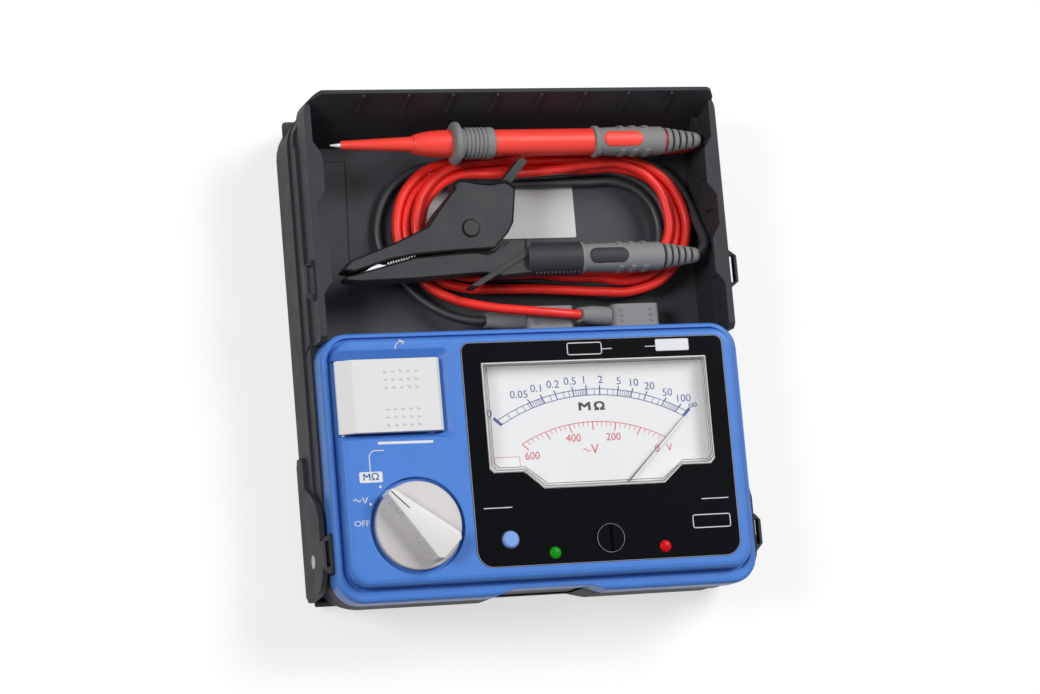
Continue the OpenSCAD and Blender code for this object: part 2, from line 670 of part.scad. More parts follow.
// Bevelled hinge strip on the left, flat top with two fields of grip pips
module measure_key() color("#e4e4e3") difference() {
    union() {
        translate([0, key_y0 + key_h, 0]) rotate([90, 0, 0]) linear_extrude(key_h)
            polygon([[key_x0 + 1.3, 40.2], [key_x0 + 0.3, 41.9], [key_x0 + 0.4, 42.6], [key_x0 + 5.6, 45.4],
                     [key_x0 + key_w - 1.2, 45.4], [key_x0 + key_w, 44.4], [key_x0 + key_w, 42.2],
                     [key_x0 + 5.6, 42.2], [key_x0 + 4.4, 38.9], [key_x0 + 1.8, 38.9]]);
        for (field = [0, 1], row = [0 : 2], column = [0 : 4])
            translate([key_pip_x0 + column * key_pip_pitch,
                       key_pip_y0 + field * key_pip_field + row * key_pip_pitch, 45.3])
                cylinder(h = 0.4, r1 = 0.75, r2 = 0.45, $fn = 16);
        translate([key_c[0], key_c[1], 39.8]) cylinder(h = 3, r = 1.8);
    }
    translate([key_pin_x, key_y0 - 1, key_pin_z]) rotate([-90, 0, 0]) cylinder(h = key_h + 2, r = 0.85);
}

module key_hinge_pin() color("#a9abae")
    translate([key_pin_x, key_y0 - 1.7, key_pin_z]) rotate([-90, 0, 0]) cylinder(h = key_h + 3.4, r = 0.8);

module key_switch() color("#1c1d20") translate([key_c[0], key_c[1], 0]) {
    translate([-5, -5, board_z + board_t]) cube([10, 10, 8.6]);
    translate([0, 0, board_z + board_t + 8.5]) cylinder(h = 4.8, r = 1.5);
}

// Selector

// Flat disc with a tall tapered grip and an engraved pointer line
module selector_knob() color("#d8d7d4") translate([knob_c[0], knob_c[1], 0]) {
    difference() {
        union() {
            translate([0, 0, 42.6]) cylinder(h = 2.2, r = knob_r);
            translate([0, 0, 44.8]) cylinder(h = 0.7, r1 = knob_r, r2 = knob_r - 0.7);
            rotate([0, 0, knob_point]) grip();
        }
        translate([0, 0, 42]) cylinder(h = 4, r = 3);
        rotate([0, 0, knob_point]) translate([6, -0.25, knob_top - 0.5]) cube([9, 0.5, 1]);
    }
}

// The grip tapers to the pointer, and its sides lean in towards the top
module grip() {
    difference() {
        hull() {
            translate([0, 0, 45]) linear_extrude(0.1) grip_outline(0);
            translate([0, 0, knob_top - 1]) linear_extrude(0.1) grip_outline(0.9);
            translate([0, 0, knob_top - 0.1]) linear_extrude(0.1) grip_outline(1.5);
        }
        for (side = [-1, 1], i = [0 : 4]) {
            translate([15 - i * 1.8, side * (3.1 + i * 0.16), 45.9]) cylinder(h = 5, r = 0.28, $fn = 8);
            translate([-9 + i * 1.8, side * (5.75 - i * 0.25), 45.9]) cylinder(h = 5, r = 0.28, $fn = 8);
        }
    }
}

module grip_outline(inset) {
    polygon([[15.8 - inset, -1.2 + inset / 3], [15, -2.7 + inset / 2], [-11, -6.1 + inset], [-13.4 + inset, -4.2 + inset / 2],
             [-13.9 + inset, 0], [-13.4 + inset, 4.2 - inset / 2], [-11, 6.1 - inset], [15, 2.7 - inset / 2],
             [15.8 - inset, 1.2 - inset / 3]]);
}

module selector_shaft() color("#b9bbbd") translate([knob_c[0], knob_c[1], 32.6]) cylinder(h = 13.2, r = 2.97);

module rotary_switch() color("#2a4a78") translate([knob_c[0], knob_c[1], board_z + board_t]) difference() {
    union() {
        cylinder(h = 6.4, r = 11);
        cylinder(h = 10.4, r = 5);
        for (a = [0 : 30 : 330]) rotate([0, 0, a]) translate([11, -0.9, 0]) cube([2.2, 1.8, 1.4]);
    }
    translate([0, 0, 7.2]) cylinder(h = 8, r = 3.05);
}

// Lamp button and indicator lamps

module lamp_button() color("#7fa8f0") translate([lamp_c[0], lamp_c[1], 0]) {
    translate([0, 0, 41.8]) cylinder(h = 3.1, r = lamp_button_r);
    translate([0, 0, 44.9]) cylinder(h = 0.6, r1 = lamp_button_r, r2 = lamp_button_r - 0.6);
    translate([0, 0, 40.8]) cylinder(h = 1.3, r = 3.6);
    translate([0, 0, 37]) cylinder(h = 4, r = 1.2);
}

module lamp_spring() color("#b4b6b8") translate([lamp_c[0], lamp_c[1], 36.2]) difference() {
    cylinder(h = 4.5, r = 2.4);
    translate([0, 0, -1]) cylinder(h = 7, r = 1.7);
}

module lamp_switch() color("#202124") translate([lamp_c[0], lamp_c[1], board_z + board_t]) {
    translate([-3.5, -3.5, 0]) cube([7, 7, 8]);
    translate([0, 0, 8]) cylinder(h = 3.2, r = 3.4);
}

module led_form(c) translate([c[0], c[1], 0]) {
    translate([0, 0, 34]) cylinder(h = 9.4, r = 2);
    translate([0, 0, 43.4]) cylinder(h = 0.8, r1 = 2, r2 = 1.4);
    translate([0, 0, 33]) cylinder(h = 1, r = 2.4);
    for (x = [-1, 1]) translate([x, 0, board_z + board_t]) cylinder(h = 9, r = 0.35, $fn = 12);
}

module led_green() color("#0c8a12") led_form(green_c);
module led_red() color("#e0101a") led_form(red_c);

// Plugs and leads

// Flat plug body with grip pips, and a round shroud that enters the terminal
module plug_body(x) {
    half = 8.8;
    difference() {
        union() {
            hull() for (sx = [-1, 1], z = [plug_z - 2.2, plug_z + 2.2])
                translate([x + sx * (half - 2.3), 4.6, z]) rotate([-90, 0, 0])
                    cylinder(h = 9.8, r = 2.3, $fn = soft_fn);
            translate([x, 5, plug_z]) rotate([90, 0, 0]) cylinder(h = 12.6, r = 4.3);
            for (sx = [-1, 1], sy = [0 : 3]) translate([x + sx * 5.6, 6.4 + sy * 2, plug_z + 4.4])
                cylinder(h = 0.4, r = 0.6, $fn = 12);
        }
        translate([x, -5, plug_z]) rotate([90, 0, 0]) cylinder(h = 4, r = 2);
    }
}

module red_plug() color("#8a8b8a") plug_body(red_plug_x);
module black_plug() color("#8a8b8a") plug_body(black_plug_x);

// Tapered sleeve that leaves the left side of a plug, tilted up by the given angle
module plug_sleeve(x, tilt, length) {
    translate([x - 8.8, plug_y, plug_z]) rotate([0, -90 + tilt, 0]) difference() {
        union() {
            cylinder(h = length * 0.55, r = 3.5);
            translate([0, 0, length * 0.55]) cylinder(h = length * 0.45, r1 = 3.5, r2 = 2.7);
        }
        translate([0, 0, length - 2]) cylinder(h = 3, r = lead_r);
    }
}

module red_plug_sleeve() color("#8a8b8a") difference() {
    plug_sleeve(red_plug_x, 24, 14.4);
    box(red_plug_x - 8.8, 0, 10, red_plug_x, 20, 40);
}

module black_plug_sleeve() color("#8a8b8a") plug_sleeve(black_plug_x, 0, 14.4);

module plug_pins() color("#c9a54e") for (x = [black_plug_x, red_plug_x])
    translate([x, -5, plug_z]) rotate([90, 0, 0]) cylinder(h = 12, r = 2);

// Direction from one route point to the next, averaged at the inner points
function route_dir(p, i) = let (a = p[max(i - 1, 0)], b = p[min(i + 1, len(p) - 1)]) (b - a) / norm(b - a);

// Tube swept along a route: each ring stands square to the route, turned by a direction that the route never takes
module lead_tube(route, up = [0, 0, 1]) {
    sides = 8;
    n = len(route);
    ring = [for (i = [0 : n - 1])
        let (t = route_dir(route, i), u = cross(t, up) / norm(cross(t, up)), v = cross(u, t))
        for (k = [0 : sides - 1]) route[i] + lead_r * (cos(k * 360 / sides) * u + sin(k * 360 / sides) * v)];
    polyhedron(points = ring, convexity = 6, faces = concat(
        [[for (k = [0 : sides - 1]) k]],
        [for (i = [0 : n - 2], k = [0 : sides - 1])
            let (a = i * sides + k, b = i * sides + (k + 1) % sides) [a, a + sides, b + sides, b]],
        [[for (k = [sides - 1 : -1 : 0]) (n - 1) * sides + k]]));
}

// A flat coil of lead, as the solid ring that its turns fill
module coil_ring(x0, y0, x1, y1, z0, z1, width) {
    r = (y1 - y0) / 2;
    difference() {
        slab(x0, y0, x1, y1, z0, z1, r - eps, r - eps);
        slab(x0 + width, y0 + width, x1 - width, y1 - width, z0 - 1, z1 + 1, r - width - eps, r - width - eps);
    }
}

module red_lead_start() color("#f0352b") lead_tube(red_start_route);
module red_lead_coil() color("#f0352b") coil_ring(-42.4, 17.4, 69.4, 69.8, 19.35, 26.5, 13.2);
module red_lead_end() color("#f0352b") lead_tube(red_end_route, [0, 1, 0]);
module black_lead_start() color("#17181a") lead_tube(black_start_route);
module black_lead_coil() color("#17181a") coil_ring(-47.2, 17.6, 69, 70.2, floor_z + 0.4, 19.3, 15.4);
module black_lead_end() color("#17181a") lead_tube(black_end_route);

// Probe: turned about its own axis, which runs across the case

module along_probe(x) { translate([x, probe_y, probe_z]) rotate([0, 90, 0]) children(); }

module probe_tip() color("#c8cacc") along_probe(-65.8) rotate_extrude()
    polygon([[0, 0], [0.35, 0.2], [1, 2.6], [1, 8], [0, 8]]);

module probe_barrel() color("#f0352b") along_probe(-62) difference() {
    rotate_extrude() polygon([[0, 0], [1.25, 0], [1.5, 0.4], [2.55, 26.3], [3.9, 29.4], [4.3, 31.5], [4.6, 42],
                              [4.6, 56], [barrel_r, 58], [barrel_r, 93], [0, 93]]);
    translate([0, 0, -1]) cylinder(h = 5.2, r = 1);
}

// Grey guard collar with ribs behind it
module probe_guard() color("#8a8b8a") along_probe(-21.6) difference() {
    union() {
        rotate_extrude() polygon([[4.7, 0], [5.4, 0], [guard_r - 0.5, 1.2], [guard_r, 2], [guard_r, 3], [guard_r - 0.6, 4],
                                  [5.7, 6.2], [5.6, 16.4], [5.2, 17], [4.7, 17]]);
        for (i = [0 : 3]) translate([0, 0, 7.4 + i * 2.2]) cylinder(h = 1, r = 5.85);
    }
    translate([0, 0, -1]) cylinder(h = 19, r = barrel_r + 0.02);
}

// Grey strain relief: collar, rounded grip and a slotted taper
module probe_boot() color("#8a8b8a") along_probe(31) boot_form(40.2);

module boot_form(length) difference() {
    rotate_extrude() polygon([[0, 0], [5.5, 0], [5.6, 1], [5.6, 2.6], [5.1, 3.2], [5.2, 18], [4.9, 21],
                              [2.9, length - 1.4], [2.2, length], [0, length]]);
    for (i = [0 : 4]) translate([0, 0, 21.6 + i * 2.9]) difference() {
        cylinder(h = 1.3, r = 6);
        translate([0, 0, -1]) cylinder(h = 4, r = 3.1 - i * 0.2);
        translate([-8, -1, -1]) cube([16, 2, 4]);
    }
    for (a = [-1, 1]) translate([-3, a * 5.9, 6]) cube([6, 1.6, 1.4], center = true);
    for (a = [-1, 1], i = [0 : 2]) translate([-3, a * 5.3 - 0.5, 6 + i * 3.4]) cube([6, 1, 1.4]);
}

// Clip

// Lower jaw with its finger guard, the barrel and the lug between the cheeks
module clip_lower_jaw() color("#17181a") {
    translate([0, 0, clip_z - 2.2]) linear_extrude(4.4) lower_jaw_outline();
    for (z = [clip_z - 3.6, clip_z + 2.1]) translate([0, 0, z]) linear_extrude(1.5) difference() {
        lower_jaw_outline();
        cheek_sweep();
    }
    translate([2, 29.9, clip_z]) rotate([0, 90, 0]) cylinder(h = 20.2, r = 5.9);
    for (i = [0 : 11]) translate([5 + i * 1.4, 24.1, clip_z - 3]) cube([0.7, 1.2, 6]);
    translate([0, 0, clip_z - 4.4]) linear_extrude(8.8)
        polygon([[-19.4, 20.6], [-18.6, 20], [-16.4, 20.1], [3.2, 31], [3.4, 36.2], [2.2, 36.6], [1.6, 32.6], [-9, 26.4]]);
    translate([0, 0, clip_z - 1.2]) linear_extrude(2.4) difference() {
        union() {
            translate(rivet_c) circle(5);
            polygon([[-22, 38], [-14, 38], [-9, 32], [-25, 31.6]]);
        }
        translate(rivet_c) circle(2.25);
    }
}

module lower_jaw_outline() polygon([
    [-64.3, 24.6], [-63.8, 23.4], [-58.7, 22.9], [-39.5, 23.3], [-14.2, 24.8], [-7.5, 23.4], [3, 24.2],
    [3, 35.9], [-5, 36.4], [-9.2, 32.6], [-24.5, 32], [-38.9, 30.9], [-60.4, 25.6]]);

// Room in the lower jaw's faces for the cheeks as the clip opens
module cheek_sweep() {
    for (a = [0 : 2 : jaw_swing]) translate(rivet_c) rotate(-a) translate(-rivet_c)
        polygon([[-0.2, 54], [-2, 42.3], [-4.2, 38.4], [-9.5, 33], [-16, 32.5], [-16, 50]]);
}

// Upper jaw: two cheeks joined along the back, with the thumb lever
module clip_upper_jaw() color("#1b1c1e") {
    difference() {
        translate([0, 0, clip_z - 4.6]) linear_extrude(9.2) upper_jaw_outline();
        translate([0, 0, clip_z - 2.6]) linear_extrude(5.2) difference() {
            offset(delta = -1.8) upper_jaw_outline();
            translate([-70, 10]) square([22, 40]);
        }
        translate([-24, 28, clip_z - 2.6]) cube([27, 15.4, 5.2]);
        translate([-28, 28, clip_z - 2.6]) cube([20, 8, 5.2]);
        translate([rivet_c[0], rivet_c[1], clip_z - 8]) cylinder(h = 16, r = 2.25);
    }
    translate([0, 0, clip_z - 4.2]) linear_extrude(8.4)
        polygon([[-5.6, 56.6], [1.9, 65.2], [3.4, 65.6], [4.9, 64.2], [-2.2, 56]]);
}

module upper_jaw_outline() polygon([
    [-64.9, 27], [-61.7, 30.4], [-46.5, 35.8], [-33.5, 41.6], [-29, 47.6], [-22.4, 54.6], [-22.4, 57.4],
    [-18.4, 58], [-12, 57.2], [-6.8, 56.8], [-3.8, 57.2], [-0.6, 54.8], [-2.4, 42.4], [-4.6, 38.6],
    [-9.8, 33.3], [-24.5, 32.7], [-39.1, 31.7], [-48.9, 30], [-61, 26.3]]);

// Serrated metal strip along the lower jaw
function lower_jaw_y(x) = 25.6 + (x + 60.4) * 5.3 / 21.5;
module clip_teeth() color("#c4c6c8") {
    pitch = 2.1;
    translate([0, 0, clip_z - 1.6]) linear_extrude(3.2)
        polygon(concat([[-57.3, lower_jaw_y(-57.3) + 0.02], [-40.5, lower_jaw_y(-40.5) + 0.02]],
            [for (i = [0 : 7], k = [0, 1]) let (x = -40.5 - (i + k * 0.8) * pitch) [x, lower_jaw_y(x) + (k == 0 ? 0.7 : 0.3)]],
            [[-57.3, lower_jaw_y(-57.3) + 0.3]]));
}

// Spring coils round the rivet, on both sides of the lug
module clip_spring() color("#9a9ca0") for (z = [-2.45, 1.35]) translate([rivet_c[0], rivet_c[1], clip_z + z]) difference() {
    cylinder(h = 1.1, r = 3.5);
    translate([0, 0, -1]) cylinder(h = 4, r = 2.4);
}

module clip_rivet() color("#2a2b2d") translate([rivet_c[0], rivet_c[1], clip_z]) {
    translate([0, 0, -5.2]) cylinder(h = 10.4, r = 2.2);
    translate([0, 0, 4.65]) cylinder(h = 0.6, r = 2.8);
    translate([0, 0, -5.25]) cylinder(h = 0.6, r = 2.8);
}

module clip_boot() color("#8a8b8a") translate([22.25, 29.9, clip_z]) rotate([0, 90, 0]) boot_form(45);

case_tray();
compartment_walls();
lid_pins();
lid();
floor_plate_label();
rear_cover();
front_cover();
face_panel();
case_screws();
battery_holder();
batteries();
battery_contacts();
battery_cover();
battery_cover_screw();
circuit_board();
board_parts();
transformer();
terminal_block();
terminal_sockets();
meter_housing();
meter_window();
scale_plate();
meter_magnet();
meter_yoke();
moving_coil();
needle();
zero_adjuster();
measure_key();
key_hinge_pin();
key_switch();
selector_knob();
selector_shaft();
rotary_switch();
lamp_button();
lamp_spring();
lamp_switch();
led_green();
led_red();
red_plug();
red_plug_sleeve();
black_plug();
black_plug_sleeve();
plug_pins();
red_lead_start();
red_lead_coil();
red_lead_end();
black_lead_start();
black_lead_coil();
black_lead_end();
probe_tip();
probe_barrel();
probe_guard();
probe_boot();
clip_lower_jaw();
clip_upper_jaw();
clip_teeth();
clip_rivet();
clip_spring();
clip_boot();
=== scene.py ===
"""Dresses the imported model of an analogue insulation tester: finishes, leads, prints, camera and stage."""

import json
import math

import bmesh
import bpy
from bpy.props import FloatProperty, FloatVectorProperty, PointerProperty
from mathutils import Matrix, Vector


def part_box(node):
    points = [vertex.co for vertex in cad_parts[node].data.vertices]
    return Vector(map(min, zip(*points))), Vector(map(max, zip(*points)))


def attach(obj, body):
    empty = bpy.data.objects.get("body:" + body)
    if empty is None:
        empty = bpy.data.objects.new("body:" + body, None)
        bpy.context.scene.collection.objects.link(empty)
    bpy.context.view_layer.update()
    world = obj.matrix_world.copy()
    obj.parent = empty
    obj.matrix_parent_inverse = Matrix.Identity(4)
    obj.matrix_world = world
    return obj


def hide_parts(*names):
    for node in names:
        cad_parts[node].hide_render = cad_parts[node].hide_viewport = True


bl_info = {
    "name": "Insulation Tester Dressing",
    "version": (1, 0, 0),
    "blender": (4, 5, 0),
    "location": "3D View > Sidebar > Tester",
    "description": "Finishes, leads, prints and studio stage for a packed insulation tester",
    "category": "Object",
}

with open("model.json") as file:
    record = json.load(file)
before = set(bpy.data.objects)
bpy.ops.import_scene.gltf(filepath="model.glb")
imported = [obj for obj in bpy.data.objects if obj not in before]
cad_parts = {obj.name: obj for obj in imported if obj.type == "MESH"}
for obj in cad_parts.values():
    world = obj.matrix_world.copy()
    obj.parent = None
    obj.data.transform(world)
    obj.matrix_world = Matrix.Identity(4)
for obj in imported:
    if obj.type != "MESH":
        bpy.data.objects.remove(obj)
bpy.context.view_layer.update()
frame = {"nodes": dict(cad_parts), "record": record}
NODES = frame["nodes"]
MM = 0.001  # metres in a millimetre; sizes below are in mm where nothing else is said


def linear(hex_code):
    """Linear red, green and blue of an sRGB hex colour."""
    channels = [int(hex_code[i : i + 2], 16) / 255 for i in (1, 3, 5)]
    return tuple(c / 12.92 if c <= 0.04045 else ((c + 0.055) / 1.055) ** 2.4 for c in channels)


def colour_prop(name, description, hex_code):
    return FloatVectorProperty(
        name=name, description=description, subtype="COLOR", size=3, min=0, max=1, default=linear(hex_code)
    )


def length_prop(name, description, millimetres):
    return FloatProperty(
        name=name, description=description, default=millimetres * MM, min=0, unit="LENGTH", subtype="DISTANCE"
    )


def power_prop(name, description, watts):
    return FloatProperty(name=name, description=description, default=watts, min=0, unit="POWER")


class CaseColours(bpy.types.PropertyGroup):
    case: colour_prop("Case", "Textured case, lid and compartment walls", "#333438")
    cover: colour_prop("Front cover", "Blue front cover of the instrument", "#4C80D2")
    panel: colour_prop("Face panel", "Printed black panel round the meter", "#06070B")
    key: colour_prop("Measure key", "Light key at the upper left", "#DEDDDD")
    # Disc and grip are one plastic: the disc's tone is darkened as painted shade and the grip's lightened as
    # a painted highlight
    knob: colour_prop("Selector disc", "Disc of the selector", "#CAC7C6")
    grip: colour_prop("Selector grip", "Grip of the selector", "#E0DEDD")
    button: colour_prop("Lamp button", "Round button that lights the scale", "#7EA4EA")
    scale: colour_prop("Scale plate", "Plate behind the needle", "#ECEBEC")


class LeadSettings(bpy.types.PropertyGroup):
    diameter: length_prop("Diameter", "Outer diameter of both test leads", 3.4)
    red: colour_prop("Red lead", "Jacket of the probe's lead", "#F02E26")
    black: colour_prop("Black lead", "Jacket of the clip's lead", "#3B3C40")
    grip: colour_prop("Grips", "Plugs, finger guard and strain reliefs", "#838384")


class PrintSettings(bpy.types.PropertyGroup):
    blue: colour_prop("Resistance scale", "Ink of the outer scale", "#15428F")
    red: colour_prop("Voltage scale", "Ink of the inner scale", "#D43034")
    white: colour_prop("Panel print", "White ink on the cover and the panel", "#E2E3E8")
    number_height: length_prop("Number height", "Height of the figures on both scales", 2.75)


class StageSettings(bpy.types.PropertyGroup):
    floor: colour_prop("Floor", "Plain floor and background", "#FFFFFF")
    lens: FloatProperty(name="Lens", description="Focal length for a 36 mm sensor", default=119.21, min=10)
    softbox: power_prop("Softbox", "Power of the large lamp", 23.5)
    side_lamp: power_prop("Side lamp", "Power of the lamp at the left", 10)


# Finishes


def node(tree, kind, links=None, values=None, **settings):
    """Adds a node with its settings, its own input values and the outputs that feed its inputs."""
    made = tree.nodes.new(kind)
    for name, value in settings.items():
        setattr(made, name, value)
    for name, value in (values or {}).items():
        made.inputs[name].default_value = value
    for name, output in (links or {}).items():
        tree.links.new(output, made.inputs[name])
    return made


def surface(name):
    """A new material: its node tree, its shader and Object coordinates."""
    material = bpy.data.materials.new(name)
    material.use_nodes = True
    tree = material.node_tree
    tree.nodes.clear()
    shader = node(tree, "ShaderNodeBsdfPrincipled")
    node(tree, "ShaderNodeOutputMaterial", {"Surface": shader.outputs["BSDF"]})
    place = node(tree, "ShaderNodeTexCoord").outputs["Object"]
    return material, tree, shader, place


def with_alpha(colour):
    return (*colour, 1.0)


def shaded(colour, factor):
    return tuple(min(1.0, c * factor) for c in colour)


GLOSS_SWING = 0.12  # share by which a surface's roughness rises and falls
NOISE_LOW = 0.3  # a noise stays between these two nearly everywhere
NOISE_HIGH = 0.7
PAIR_LOW = 0.7  # and so does the sum of two noises
PAIR_HIGH = 1.3
TOOL_MARK_DEPTH = 0.01


def moulded(
    name, colour, rough, grain, depth,
    mottle=9.0, spread=0.12, specular=0.5, stretch=(1, 1, 1), edge=0.3, more=None,
):
    """A moulded or coated surface: soft edges, grain in relief, slow changes of tone and gloss; in mm."""
    material, tree, shader, place = surface(name)
    if stretch != (1, 1, 1):
        place = node(tree, "ShaderNodeMapping", {"Vector": place}, {"Scale": stretch}).outputs["Vector"]
    cloud, fine = [
        node(
            tree,
            "ShaderNodeTexNoise",
            {"Vector": place},
            {"Scale": 1 / (size * MM), "Detail": detail, "Roughness": fade},
        ).outputs["Fac"]
        for size, detail, fade in ((mottle, 3, 0.55), (grain, 2, 0.6))
    ]
    both = node(tree, "ShaderNodeMath", {0: cloud, 1: fine}, operation="ADD").outputs[0]
    tone = node(tree, "ShaderNodeMapRange", {"Value": both}, {"From Min": PAIR_LOW, "From Max": PAIR_HIGH})
    mixed = node(
        tree,
        "ShaderNodeMix",
        {"Factor": tone.outputs["Result"]},
        {"A": with_alpha(shaded(colour, 1 - spread)), "B": with_alpha(shaded(colour, 1 + spread))},
        data_type="RGBA",
    )
    low, high = rough * (1 - GLOSS_SWING), min(1, rough * (1 + GLOSS_SWING))
    gloss = node(
        tree,
        "ShaderNodeMapRange",
        {"Value": cloud},
        {"From Min": NOISE_LOW, "From Max": NOISE_HIGH, "To Min": low, "To Max": high},
    )
    round_edge = node(tree, "ShaderNodeBevel", values={"Radius": edge * MM}, samples=4)
    relief = node(
        tree,
        "ShaderNodeBump",
        {"Height": fine, "Normal": round_edge.outputs["Normal"]},
        {"Strength": 0.5, "Distance": depth * MM},
    )
    tree.links.new(mixed.outputs["Result"], shader.inputs["Base Color"])
    tree.links.new(gloss.outputs["Result"], shader.inputs["Roughness"])
    tree.links.new(relief.outputs["Normal"], shader.inputs["Normal"])
    for socket, value in {"Specular IOR Level": specular, **(more or {})}.items():
        shader.inputs[socket].default_value = value
    return material


def metal(name, colour, rough, grain, stretch=(1, 1, 1)):
    """Bare or plated metal with fine tool marks of the given width in mm."""
    bare = {"Metallic": 1.0}
    return moulded(
        name, colour, rough, grain, TOOL_MARK_DEPTH, mottle=4, spread=0.06, stretch=stretch, more=bare
    )


def any_ray(tree, first, *others):
    """An output that is one for rays of the given kinds, and nought for the rest."""
    path = node(tree, "ShaderNodeLightPath").outputs
    found = path[first]
    for other in others:
        found = node(tree, "ShaderNodeMath", {0: found, 1: path[other]}, operation="MAXIMUM").outputs[0]
    return found


def show(tree, output):
    """Sends a shader's output to the material's surface, in place of the one sent before."""
    out = next(n for n in tree.nodes if n.type == "OUTPUT_MATERIAL")
    tree.links.new(output, out.inputs["Surface"])


def clear_window(name):
    """Moulded clear polycarbonate, thin enough that light goes straight through; the eye sees its gloss."""
    material, tree, shader, place = surface(name)
    haze = node(tree, "ShaderNodeTexNoise", {"Vector": place}, {"Scale": 1 / (12 * MM), "Detail": 2})
    gloss = node(
        tree,
        "ShaderNodeMapRange",
        {"Value": haze.outputs["Fac"]},
        {"From Min": NOISE_LOW, "From Max": NOISE_HIGH, "To Min": 0.03, "To Max": 0.07},
    )
    tree.links.new(gloss.outputs["Result"], shader.inputs["Roughness"])
    shader.inputs["Base Color"].default_value = (1, 1, 1, 1)
    shader.inputs["Transmission Weight"].default_value = 1.0
    shader.inputs["IOR"].default_value = 1.49
    through = node(tree, "ShaderNodeBsdfTransparent", values={"Color": (0.97, 0.975, 0.98, 1)})
    straight = any_ray(tree, "Is Shadow Ray", "Is Diffuse Ray")
    links = {0: straight, 1: shader.outputs["BSDF"], 2: through.outputs["BSDF"]}
    show(tree, node(tree, "ShaderNodeMixShader", links).outputs[0])
    return material


def indicator(name, colour):
    """Cast epoxy lens of an unlit lamp: deep colour under a clear glossy skin."""
    skin = {"Coat Weight": 0.08, "Coat Roughness": 0.15}
    return moulded(name, colour, 0.35, 1.2, 0.004, mottle=3, spread=0.04, specular=0.08, more=skin)


